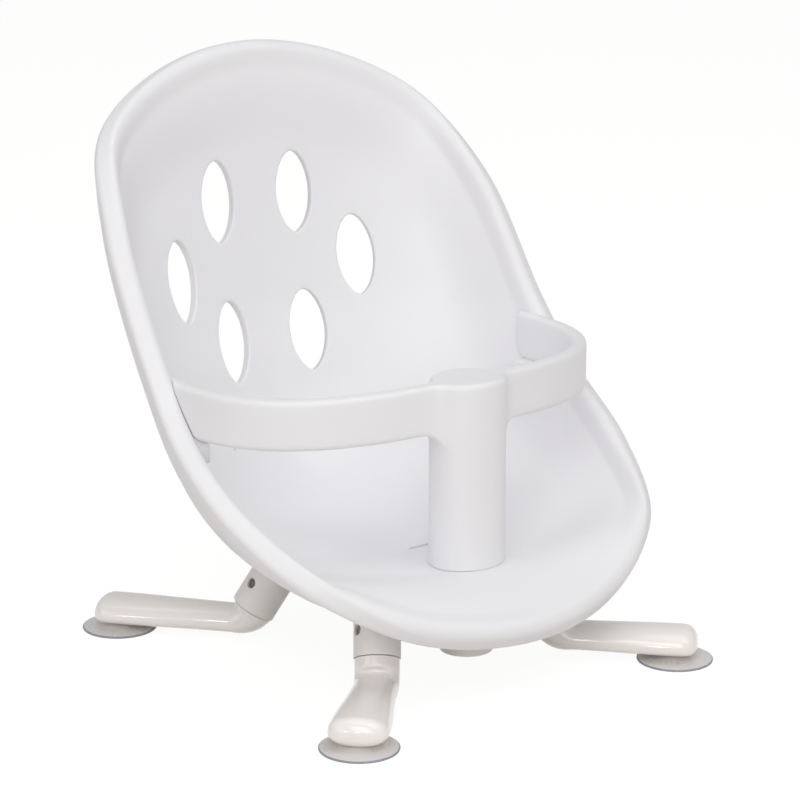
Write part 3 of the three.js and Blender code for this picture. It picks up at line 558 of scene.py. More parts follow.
@dataclass
class ShellWall:
    """Sections of the seat's wall, as places down from the rim and lifts off the outer surface."""

    bowl: Bowl
    steps: int = 320
    fineness: int = 3
    wall: float = 6.0
    rim_face: float = 16.0
    rim_round: float = 8.0
    rim_edge: float = 3.0
    bead: float = 2.5
    bead_width: float = 12.0
    flare: float = 70.0
    samples: int = 480
    far_steps: int = 14
    near_steps: int = 8
    edge_steps: int = 2
    round_steps: int = 4
    lines: np.ndarray = field(init=False)
    walked: np.ndarray = field(init=False)

    def __post_init__(self) -> None:
        """Walks lines down the bowl from the rim to the middle."""
        angles = np.arange(self.steps) * 2 * math.pi / self.steps
        reach = np.sin((1 - np.arange(self.samples + 1) / self.samples) * math.pi / 2)
        self.lines = self.bowl.point(
            reach[None] * np.sin(angles)[:, None], reach[None] * np.cos(angles)[:, None])
        strides = np.linalg.norm(np.diff(self.lines, axis=1), axis=2)
        self.walked = np.concatenate([np.zeros((self.steps, 1)), np.cumsum(strides, 1)], 1)

    @property
    def to_middle(self) -> float:
        """The shortest way from the rim to the middle of the seat."""
        return float(self.walked[:, -1].min())

    def spots(self, distances: np.ndarray) -> np.ndarray:
        """A point on each line, at its distance from the rim, or just outside it.

        Args:
            distances: One distance for each line.

        Returns:
            The points, N by 3.
        """
        found = np.empty((self.steps, 3))
        for j, distance in enumerate(np.minimum(distances, self.walked[:, -1])):
            if distance < 0:
                share = distance / self.walked[j, 1]
                found[j] = self.lines[j, 0] + share * (self.lines[j, 1] - self.lines[j, 0])
            else:
                found[j] = [np.interp(distance, self.walked[j], self.lines[j, :, k]) for k in range(3)]
        return found

    def distances(self, place: float) -> np.ndarray:
        """How far a place is from the rim on each line."""
        rest = max(0.0, place - self.flare) / (self.to_middle - self.flare)
        return min(place, self.flare) + rest * (self.walked[:, -1] - self.flare)

    def ring(self, place: float, lift: float) -> np.ndarray:
        """A ring of points round the seat, lifted off the outer surface towards the inside.

        Args:
            place: How far down from the rim it lies.
            lift: How far off the outer surface it lies.

        Returns:
            The ring's points.
        """
        stance = self.distances(max(place, self.rim_face))
        reach = self.rim_face / 2
        middle = self.spots(stance)
        around = np.roll(middle, -1, 0) - np.roll(middle, 1, 0)
        down = self.spots(stance + reach) - self.spots(stance - reach)
        return self.spots(self.distances(place)) + unit(np.cross(down, around)) * lift

    def thickness(self, place: float) -> float:
        """The wall's thickness at a place, from the rim's bead to the plain wall.

        Args:
            place: How far down from the rim it is.

        Returns:
            The thickness.
        """
        bead = self.bead * smoothstep(np.array(place), self.rim_round, self.rim_round + self.bead_width)
        flare = smoothstep(np.array(place), self.rim_round + self.bead_width, self.flare)
        return float((self.rim_face - bead) * (1 - flare) + self.wall * flare)

    def section(self, outside: float, inside: float) -> list[tuple[float, float]]:
        """The whole section, up the outside, over the rim and down the inside.

        Args:
            outside: How far it is grown outward.
            inside: How far it is grown inward.

        Returns:
            Places and lifts.
        """
        far_count, near_count = self.far_steps * self.fineness, self.near_steps * self.fineness
        last = 0.5 / far_count
        far = [
            self.flare + (self.to_middle - self.flare) * (1 - t)
            for t in np.linspace(last, 1, far_count, endpoint=False)
        ]
        start = self.rim_round
        near = [start + (self.flare - start) * (1 - t) for t in np.linspace(0, 1, near_count, endpoint=False)]
        down = far + near
        edge, soft = self.rim_edge, self.rim_round
        outer_turn = [
            (edge * (1 - math.sin(a)) - outside, edge * (1 - math.cos(a)) - outside)
            for a in np.linspace(0, math.pi / 2, self.edge_steps * self.fineness + 1)
        ]
        inner_turn = [
            (soft * (1 - math.cos(a)) - outside, self.rim_face + inside - soft * (1 - math.sin(a)))
            for a in np.linspace(0, math.pi / 2, self.round_steps * self.fineness)
        ]
        return [
            *[(place, -outside) for place in down],
            *outer_turn,
            *inner_turn,
            *[(place, self.thickness(place) + inside) for place in reversed(down)],
        ]

    def solid(self, outside: float = 0.0, inside: float = 0.0) -> Form:
        """The wall as a closed form, grown on either side."""
        return loft([self.ring(place, lift) for place, lift in self.section(outside, inside)])

    def inner_space(self, grown: float) -> Form:
        """Everything inside the wall's outer surface, grown outward."""
        outer = [(place, lift) for place, lift in self.section(grown, 0.0) if lift == -grown]
        return loft([self.ring(place, lift) for place, lift in outer])


# Shader nodes


class Value:
    """A shader socket that Python's operators work on."""

    def __init__(self, tree: "Shader", socket: Optional[bpy.types.NodeSocket]) -> None:
        """Wraps a socket, or nothing for a node without outputs."""
        self.tree = tree
        self.socket = socket

    def _maths(self, operation: str, *terms: "Value | float") -> "Value":
        """Adds a Math node over this value and other terms."""
        return self.tree.node("ShaderNodeMath", {"operation": operation}, dict(enumerate(terms)))

    def __add__(self, other: "Value | float") -> "Value":
        """The sum."""
        return self._maths("ADD", self, other)

    __radd__ = __add__

    def __mul__(self, other: "Value | float") -> "Value":
        """The product."""
        return self._maths("MULTIPLY", self, other)

    __rmul__ = __mul__

    def larger(self, other: "Value") -> "Value":
        """The larger of two values."""
        return self._maths("MAXIMUM", self, other)


class Shader:
    """A material's or the world's node tree, with one method that makes every node."""

    # The Mix node's colour sockets, by number, because its other sockets have the same names
    MIX_LOW = 6
    MIX_HIGH = 7
    MIX_COLOUR = 2

    def __init__(self, owner: bpy.types.Material | bpy.types.World) -> None:
        """Empties the owner's node tree.

        Args:
            owner: The material or the world.
        """
        owner.use_nodes = True
        self.owner = owner
        self.nodes = owner.node_tree.nodes
        self.nodes.clear()

    def node(
        self, kind: str, settings: Optional[dict] = None, inputs: Optional[dict] = None,
        output: int | str = 0,
    ) -> Value:
        """Adds a node.

        Args:
            kind: The node's type.
            settings: Its own settings, which are set first.
            inputs: Numbers, colours or values for its sockets, by name or number.
            output: The output that is returned.

        Returns:
            The wrapped output.
        """
        made = self.nodes.new(kind)
        for key, value in (settings or {}).items():
            setattr(made, key, value)
        for key, value in (inputs or {}).items():
            socket = made.inputs[key]
            if isinstance(value, Value):
                self.owner.node_tree.links.new(value.socket, socket)
            elif isinstance(value, tuple) and socket.type == "RGBA":
                socket.default_value = (*value, 1.0)
            else:
                socket.default_value = value
        return Value(self, made.outputs[output] if made.outputs else None)

    def place(self) -> Value:
        """The place on the piece, in metres."""
        return self.node("ShaderNodeTexCoord", output="Object")

    def rays(self, *kinds: str) -> list[Value]:
        """Whether a ray is of some kinds.

        Args:
            kinds: The kinds, as the Light Path node names them.

        Returns:
            1 or 0 for each kind.
        """
        outputs = self.node("ShaderNodeLightPath").socket.node.outputs
        return [Value(self, outputs[f"Is {kind} Ray"]) for kind in kinds]

    def noise(self, scale: float, detail: float) -> Value:
        """Even noise in the piece's own coordinates, from 0 to 1.

        Args:
            scale: How fine it is, in waves to the metre.
            detail: How many finer waves lie over the first.

        Returns:
            The noise.
        """
        return self.node(
            "ShaderNodeTexNoise", {}, {"Vector": self.place(), "Scale": scale, "Detail": detail})

    def blend(self, amount: Value, low: tuple | Value, high: tuple | Value) -> Value:
        """A colour between two.

        Args:
            amount: How near it is to the second colour, from 0 to 1.
            low: The first colour.
            high: The second colour.

        Returns:
            The mixed colour.
        """
        inputs = {0: amount, self.MIX_LOW: low, self.MIX_HIGH: high}
        return self.node("ShaderNodeMix", {"data_type": "RGBA"}, inputs, output=self.MIX_COLOUR)

    def bump(self, height: Value, depth: float, strength: float = 1.0, over: Optional[Value] = None) -> Value:
        """A bumped normal.

        Args:
            height: The relief, from 0 to 1.
            depth: The relief's depth in metres.
            strength: How much of it shows.
            over: The normal that lies under it, where there is one.

        Returns:
            The normal.
        """
        inputs = {"Strength": strength, "Distance": depth, "Height": height}
        return self.node("ShaderNodeBump", {}, inputs if over is None else inputs | {"Normal": over})


@dataclass(frozen=True)
class MouldedPlastic:
    """A moulded plastic finish: a soft grain, faint flow clouds and a satin or polished skin."""

    name: str
    colour: tuple[float, float, float]
    cloud: float = 0.012
    cloud_scale: float = 9.0
    speck_scale: float = 320.0
    speck_share: float = 0.25
    roughness: float = 0.45
    roughness_spread: float = 0.08
    roughness_scale: float = 26.0
    grain_scale: float = 1400.0
    grain_depth: float = 0.00003
    wave_scale: float = 30.0
    wave_depth: float = 0.00025
    coat: float = 0.0
    coat_roughness: float = 0.12
    refraction: float = 1.5

    def material(self) -> bpy.types.Material:
        """Builds the material.

        Returns:
            The material.
        """
        shader = Shader(bpy.data.materials.new(self.name))
        cloud = shader.noise(self.cloud_scale, detail=3.0)
        speck = shader.noise(self.speck_scale, detail=2.0)
        tone = cloud * (1 - self.speck_share) + speck * self.speck_share
        low = tuple(max(0.0, c - self.cloud) for c in self.colour)
        high = tuple(min(1.0, c + self.cloud) for c in self.colour)
        colour = shader.blend(tone, low, high)
        smoothest = self.roughness - self.roughness_spread / 2
        rough = shader.noise(self.roughness_scale, detail=3.0) * self.roughness_spread + smoothest
        grain = shader.noise(self.grain_scale, detail=2.0)
        wave = shader.noise(self.wave_scale, detail=1.0)
        soft = shader.bump(wave, self.wave_depth)
        fine = shader.bump(grain, self.grain_depth, over=soft)
        surface = shader.node("ShaderNodeBsdfPrincipled", {}, {
            "Base Color": colour, "Roughness": rough, "Normal": fine, "IOR": self.refraction,
            "Coat Weight": self.coat, "Coat Roughness": self.coat_roughness,
        })
        shader.node("ShaderNodeOutputMaterial", {}, {"Surface": surface})
        return shader.owner


@dataclass(frozen=True)
class ClearVinyl:
    """Soft clear vinyl, as suction cups are made of: cloudy and glossy, with painted shade: a darker, bluer
    band along its foot where it meets the floor, over the vinyl's own grey-blue tint.
    """

    name: str
    colour: tuple[float, float, float]
    # Painted shade: the darker, bluer colour of the band along the cup's foot
    edge: tuple[float, float, float]
    shade_band_height: float = 0.00128
    shade_band_blur: float = 0.03
    clearness: float = 0.12
    cloud_scale: float = 60.0
    cloud_shade: float = 0.94
    roughness: float = 0.2
    roughness_spread: float = 0.12
    roughness_scale: float = 140.0
    wave_scale: float = 160.0
    wave_depth: float = 0.000015
    refraction: float = 1.52

    def material(self) -> bpy.types.Material:
        """Builds the material.

        Returns:
            The material.
        """
        shader = Shader(bpy.data.materials.new(self.name))
        clouded = tuple(c * self.cloud_shade for c in self.colour)
        top = shader.blend(shader.noise(self.cloud_scale, detail=3.0), clouded, self.colour)
        # Painted shade: below the band's height the cup takes the darker, bluer colour, above it the lighter
        # top colour
        height = shader.node("ShaderNodeSeparateXYZ", {}, {0: shader.place()}, output="Z")
        low, high = self.shade_band_height * (1 - self.shade_band_blur), self.shade_band_height * (1 + self.shade_band_blur)
        above = shader.node(
            "ShaderNodeMapRange", {"interpolation_type": "SMOOTHSTEP"}, {0: height, 1: low, 2: high})
        colour = shader.blend(above, self.edge, top)
        rough = shader.noise(self.roughness_scale, detail=3.0) * self.roughness_spread + self.roughness
        bump = shader.bump(shader.noise(self.wave_scale, detail=1.0), self.wave_depth)
        surface = shader.node("ShaderNodeBsdfPrincipled", {}, {
            "Base Color": colour, "Roughness": rough, "Normal": bump, "IOR": self.refraction,
            "Transmission Weight": self.clearness,
        })
        shader.node("ShaderNodeOutputMaterial", {}, {"Surface": surface})
        return shader.owner


@dataclass(frozen=True)
class Steel:
    """Plain steel with fine drawn lines."""

    name: str
    colour: tuple[float, float, float]
    line_scale: float = 900.0
    line_wander: float = 2.0
    line_shade: float = 0.9
    line_depth: float = 0.00003
    line_strength: float = 0.5
    roughness: float = 0.3
    roughness_spread: float = 0.12

    def material(self) -> bpy.types.Material:
        """Builds the material.

        Returns:
            The material.
        """
        shader = Shader(bpy.data.materials.new(self.name))
        lines = shader.node("ShaderNodeTexWave", {"bands_direction": "Z"}, {
            "Vector": shader.place(), "Scale": self.line_scale, "Distortion": self.line_wander,
            "Detail": 2.0}, output=1)
        colour = shader.blend(lines, tuple(c * self.line_shade for c in self.colour), self.colour)
        rough = lines * self.roughness_spread + self.roughness
        bump = shader.bump(lines, self.line_depth, self.line_strength)
        surface = shader.node("ShaderNodeBsdfPrincipled", {}, {
            "Base Color": colour, "Roughness": rough, "Normal": bump, "Metallic": 1.0})
        shader.node("ShaderNodeOutputMaterial", {}, {"Surface": surface})
        return shader.owner


# Geometry nodes


class Tree:
    """A geometry node tree, with one method that makes every node."""

    def __init__(self, name: str) -> None:
        """Starts a tree with a geometry input and output.

        Args:
            name: The tree's name.
        """
        self.group = bpy.data.node_groups.new(name, "GeometryNodeTree")
        self.group.interface.new_socket("Geometry", in_out="INPUT", socket_type="NodeSocketGeometry")
        self.group.interface.new_socket("Geometry", in_out="OUTPUT", socket_type="NodeSocketGeometry")
        self.identifiers: dict[str, str] = {}
        self.source = self.group.nodes.new("NodeGroupInput")
        self.sink = self.group.nodes.new("NodeGroupOutput")

    def input(self, name: str, kind: str, value: float | int) -> bpy.types.NodeSocket:
        """Adds a named input.

        Args:
            name: The input's name.
            kind: The socket's type.
            value: Its default.

        Returns:
            The group input node's socket.
        """
        socket = self.group.interface.new_socket(name, in_out="INPUT", socket_type=kind)
        socket.default_value = value
        self.identifiers[name] = socket.identifier
        return self.source.outputs[name]

    def node(
        self, kind: str, settings: Optional[dict] = None, inputs: Optional[dict] = None,
        output: int | str = 0,
    ) -> bpy.types.NodeSocket:
        """Adds a node.

        Args:
            kind: The node's type.
            settings: Its own settings, which are set first.
            inputs: Values or links for its sockets, by name or number.
            output: The output that is returned.

        Returns:
            The output's socket.
        """
        made = self.group.nodes.new(kind)
        for key, value in (settings or {}).items():
            setattr(made, key, value)
        for key, value in (inputs or {}).items():
            if isinstance(value, bpy.types.NodeSocket):
                self.group.links.new(value, made.inputs[key])
            else:
                made.inputs[key].default_value = value
        return made.outputs[output]

    def maths(self, operation: str, *terms: bpy.types.NodeSocket | float) -> bpy.types.NodeSocket:
        """Adds a Math node."""
        return self.node("ShaderNodeMath", {"operation": operation}, dict(enumerate(terms)))

    def curve(self, place: bpy.types.NodeSocket, heights: Sequence[float]) -> bpy.types.NodeSocket:
        """A straight-sided graph through evenly spaced heights.

        Args:
            place: Where it is read, from 0 to 1.
            heights: The heights from 0 to 1.

        Returns:
            The height at the place.
        """
        made = self.node("ShaderNodeFloatCurve", {}, {"Value": place})
        graph = made.node.mapping.curves[0]
        graph.points[0].location = (0.0, heights[0])
        graph.points[1].location = (1.0, heights[-1])
        for i, height in enumerate(heights[1:-1], 1):
            graph.points.new(i / (len(heights) - 1), height)
        for point in graph.points:
            point.handle_type = "VECTOR"
        made.node.mapping.update()
        return made

    def finish(self, result: bpy.types.NodeSocket, material: bpy.types.Material) -> None:
        """Ends the tree in Realize Instances and Set Material.

        Args:
            result: The geometry.
            material: Its finish.
        """
        whole = self.node("GeometryNodeRealizeInstances", {}, {0: result})
        dressed = self.node("GeometryNodeSetMaterial", {}, {"Geometry": whole, "Material": material})
        self.group.links.new(dressed, self.sink.inputs[0])


@dataclass
class TurnedPattern:
    """Turned pieces, all alike, each standing on a point with its own axis, made by geometry nodes."""

    name: str
    profile: tuple[tuple[float, float], ...]
    places: Sequence[np.ndarray]
    axes: Sequence[np.ndarray]
    material: bpy.types.Material
    facets: int = 64

    def piece(self) -> bpy.types.Object:
        """Builds the pattern.

        Returns:
            One object with all the turned pieces as a plain mesh.
        """
        points = bpy.data.meshes.new(self.name)
        points.from_pydata(packed(np.array(self.places)).tolist(), [], [])
        axis = points.attributes.new("axis", "FLOAT_VECTOR", "POINT")
        axis.data.foreach_set("vector", np.array([unit(a) for a in self.axes], np.float32).ravel())
        made = bpy.data.objects.new(self.name, points)
        bpy.context.scene.collection.objects.link(made)
        step = made.modifiers.new("turned", "NODES")
        tree = self.tree()
        step.node_group = tree.group
        step[tree.identifiers["Facets"]] = self.facets
        step[tree.identifiers["Scale"]] = MM
        evaluated(made)
        made.data.materials.clear()
        made.data.materials.append(self.material)
        face_outward(made.data)
        return shaded(made)

    def even_profile(self) -> list[tuple[float, float]]:
        """The profile with points added on its longest sides, so that a node graph meets each one.

        Returns:
            One point more than a power of two, as the graph is read in 256 even steps.
        """
        line = list(self.profile)
        count = next(2 ** k + 1 for k in (4, 5, 6) if 2 ** k >= len(line) - 1)
        while len(line) < count:
            sides = [math.dist(a, b) for a, b in zip(line, line[1:])]
            i = sides.index(max(sides))
            a, b = line[i], line[i + 1]
            line.insert(i + 1, ((a[0] + b[0]) / 2, (a[1] + b[1]) / 2))
        return line

    def tree(self) -> Tree:
        """The node tree: a grid bent round into a lathe, on every point.

        Returns:
            The finished tree.
        """
        tree = Tree(self.name)
        facets = tree.input("Facets", "NodeSocketInt", self.facets)
        scale = tree.input("Scale", "NodeSocketFloat", MM)
        line = self.even_profile()
        radii = [r for r, _ in line]
        heights = [h for _, h in line]
        most = max(radii)
        low, high = min(heights), max(heights)
        columns = tree.maths("ADD", facets, 1.0)
        grid = tree.node("GeometryNodeMeshGrid", {}, {
            "Size X": 1.0, "Size Y": 1.0, "Vertices X": columns, "Vertices Y": len(line)})
        place = tree.node("GeometryNodeInputPosition")
        split = tree.node("ShaderNodeSeparateXYZ", {}, {0: place})
        across = tree.maths("ADD", split, 0.5)
        along = tree.maths("ADD", split.node.outputs[1], 0.5)
        radius = tree.maths("MULTIPLY", tree.curve(along, [r / most for r in radii]), most)
        height = tree.curve(along, [(h - low) / (high - low) for h in heights])
        height = tree.maths("MULTIPLY_ADD", height, high - low, low)
        angle = tree.maths("MULTIPLY", across, 2 * math.pi)
        x = tree.maths("MULTIPLY", radius, tree.maths("COSINE", angle))
        y = tree.maths("MULTIPLY", radius, tree.maths("SINE", angle))
        where = tree.node("ShaderNodeCombineXYZ", {}, {0: x, 1: y, 2: height})
        where = tree.node("ShaderNodeVectorMath", {"operation": "SCALE"}, {0: where, "Scale": scale})
        turned = tree.node("GeometryNodeSetPosition", {}, {"Geometry": grid, "Position": where})
        welded = tree.node("GeometryNodeMergeByDistance", {}, {"Geometry": turned, "Distance": WELD})
        axis = tree.node("GeometryNodeInputNamedAttribute", {"data_type": "FLOAT_VECTOR"}, {"Name": "axis"})
        aimed = tree.node("FunctionNodeAlignRotationToVector", {"axis": "Z"}, {"Vector": axis})
        copies = tree.node("GeometryNodeInstanceOnPoints", {}, {
            "Points": tree.source.outputs[0], "Instance": welded, "Rotation": aimed})
        tree.finish(copies, self.material)
        return tree


# Finishes


@dataclass(frozen=True)
class Finishes:
    """The seat's materials, one for each slot of the record."""

    shell: bpy.types.Material
    bar: bpy.types.Material
    base: bpy.types.Material
    leg: bpy.types.Material
    cup: bpy.types.Material
    button: bpy.types.Material
    steel: bpy.types.Material

    @classmethod
    def mixed(cls) -> "Finishes":
        """Mixes every material.

        Returns:
            The materials.
        """
        return cls(
            shell=MouldedPlastic("cool white satin shell", (0.862, 0.855, 0.876)).material(),
            bar=MouldedPlastic("cool white satin bar", (0.862, 0.857, 0.878), roughness=0.42).material(),
            base=MouldedPlastic("pale grey base", (0.905, 0.88, 0.858), roughness=0.42).material(),
            leg=MouldedPlastic(
                "cream polished leg", (0.93, 0.893, 0.857), cloud=0.01, roughness=0.2,
                roughness_spread=0.06, grain_depth=0.000008, coat=0.65).material(),
            # The cup's second colour is painted shade along each cup's foot
            cup=ClearVinyl("clear grey vinyl", (0.83, 0.80, 0.77), (0.34, 0.36, 0.42)).material(),
            # Painted shade: the buttons are coloured near black so that the holes they sit in look like
            # shaded recesses
            button=MouldedPlastic("near black button with painted recess shade", (0.17, 0.168, 0.165), roughness=0.25).material(),
            steel=Steel("spring and screw steel", (0.62, 0.63, 0.65)).material(),
        )


def finished(
    piece: bpy.types.Object, body: str, material: bpy.types.Material, nodes: Sequence[str]
) -> bpy.types.Object:
    """Dresses a piece and ties it to the frame.

    Args:
        piece: The object.
        body: The body that it rides on.
        material: Its finish.
        nodes: The CAD nodes that it stands for.

    Returns:
        The same object.
    """
    piece.data.materials.clear()
    piece.data.materials.append(material)
    for polygon in piece.data.polygons:
        polygon.material_index = 0
    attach(piece, body)
    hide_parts(*nodes)
    return piece


# Sub-assemblies


@dataclass
class SeatShell:
    """The bucket: its wall, leaf-shaped drain holes, strap slits and the hole for the post."""

    wall: ShellWall
    leaf_width: float = 27.0
    leaf_height: float = 56.0
    leaf_places: tuple[tuple[float, float], ...] = ((31.7, 275.0), (73.2, 228.0), (32.0, 180.6))
    leaf_edge: float = 1.3
    slit_width: float = 3.5
    slit_edge: float = 0.5
    crotch_slit: tuple[float, float] = (25.0, -33.0)
    waist_slit: tuple[float, float, float] = (14.0, 58.0, 121.0)
    post_y: float = POST_Y
    post_hole_radius: float = POST_BORE
    post_hole_depth: float = 100.0
    cutter_reach: float = 30.0
    cutter_steps: int = 6
    cutter_overlap: float = 0.04
    cutter_flare: float = 1.05
    cutter_beyond: float = 4.0

    def leaf_outline(self) -> np.ndarray:
        """The leaf: round at the top, drawn to a soft point at the foot.

        Returns:
            The outline's points.
        """
        w, h = self.leaf_width / 2, self.leaf_height / 2
        spans = [
            ((0, -h), (w * 0.5, -h * 0.93), (w, -h * 0.5), (w, h * 0.03)),
            ((w, h * 0.03), (w, h * 0.54), (w * 0.5, h), (0, h)),
            ((0, h), (-w * 0.5, h), (-w, h * 0.54), (-w, h * 0.03)),
            ((-w, h * 0.03), (-w, -h * 0.5), (-w * 0.5, -h * 0.93), (0, -h)),
        ]
        t = np.linspace(0, 1, 28, endpoint=False)[:, None]
        return np.concatenate([
            (1 - t) ** 3 * np.array(a) + 3 * (1 - t) ** 2 * t * np.array(b)
            + 3 * (1 - t) * t ** 2 * np.array(c) + t ** 3 * np.array(d)
            for a, b, c, d in spans
        ])

    def slit_outline(self, length: float, sideways: bool) -> np.ndarray:
        """A long slit with round ends.

        Args:
            length: Its whole length.
            sideways: Whether it lies across the seat.

        Returns:
            The outline's points.
        """
        r = self.slit_width / 2
        reach = length / 2 - r
        outline = np.concatenate([arc((0, reach), r, 0, 180, 12), arc((0, -reach), r, 180, 360, 12)])
        return outline[:, ::-1] * np.array([-1, 1]) if sideways else outline

    def cutter(
        self, skin: BVHTree, outline: np.ndarray, spot: tuple[np.ndarray, np.ndarray], edge: float
    ) -> Form:
        """A cutter whose ends flare along the wall's two faces, so that the hole's edges are rounded.

        Args:
            skin: The wall's mesh, to find its faces.
            outline: The hole's outline, N by 2.
            spot: The middle of the hole on the outer surface, and the inward normal.
            edge: The radius of the rounded edges.

        Returns:
            The cutter.
        """
        centre, normal = spot
        up = unit(np.array([0.0, normal[2], -normal[1]]))
        matrix = np.eye(4)
        matrix[:3, :3] = np.stack([np.cross(up, normal), up, normal], 1)
        matrix[:3, 3] = centre
        outward = np.roll(outline, -1, 0) - np.roll(outline, 1, 0)
        outward = unit(np.stack([outward[:, 1], -outward[:, 0]], 1))
        reach = self.cutter_reach

        def height(place: np.ndarray, side: int) -> float:
            """How high the wall's face stands over a place of the outline.

            Args:
                place: The place in the outline's plane.
                side: 1 for the inner face, -1 for the outer.

            Returns:
                The height along the normal.
            """
            start = moved(np.array([[*place, side * reach]]), matrix)[0]
            hit = skin.ray_cast(Vector(packed(start)), Vector(-side * normal))
            return side * (reach - (hit[3] or reach * MM) / MM)

        def flared(side: int) -> list[np.ndarray]:
            """Rings that round the hole's edge at one face and go on beyond it.

            Args:
                side: 1 for the inner face, -1 for the outer.

            Returns:
                The rings, from the wall's inside outward.
            """
            rings = []
            turns = np.linspace(0, math.pi / 2, self.cutter_steps)
            for angle in turns:
                grown = outline + outward * edge * (1 - math.cos(angle))
                proud = self.cutter_overlap if angle == turns[-1] else 0.0
                depth = edge * (1 - math.sin(angle)) - proud
                heights = [height(place, side) - side * depth for place in grown]
                rings.append(moved(np.column_stack([grown, heights]), matrix))
            top = outline + outward * edge * self.cutter_flare
            heights = [height(place, side) + side * self.cutter_beyond for place in top]
            rings.append(moved(np.column_stack([top, heights]), matrix))
            return rings

        return loft(flared(-1)[::-1] + flared(1))

    def build(self, finishes: Finishes) -> bpy.types.Object:
        """Builds the shell and stands it for its CAD node.

        Args:
            finishes: The seat's materials.

        Returns:
            The finished piece.
        """
        bowl = self.wall.bowl
        shell = self.wall.solid().piece("moulded_seat_shell")
        work = bmesh.new()
        work.from_mesh(shell.data)
        skin = BVHTree.FromBMesh(work)
        work.free()
        leaf = self.leaf_outline()
        cutters = [
            self.cutter(skin, leaf, bowl.facing(side * x, Meet.BACK_Z, z), self.leaf_edge)
            for x, z in self.leaf_places for side in (1, -1)
        ]
        length, x, z = self.waist_slit
        slit = self.slit_outline(length, False)
        cutters += [
            self.cutter(skin, slit, bowl.facing(side * x, Meet.BACK_Z, z), self.slit_edge) for side in (1, -1)
        ]
        length, y = self.crotch_slit
        slit = self.slit_outline(length, True)
        cutters.append(self.cutter(skin, slit, bowl.facing(0.0, Meet.FLOOR_Y, y), self.slit_edge))
        centre = np.array([0, self.post_y, 0])
        cutters.append(rod(centre, UP, self.post_hole_radius, 0, self.post_hole_depth))
        combined(shell, [c.piece("cutter") for c in cutters], Cut.TAKE_AWAY)
        return finished(
            shaded(shell, sharp_over=30), SEAT_BODY, finishes.shell, ["seat_shell"])


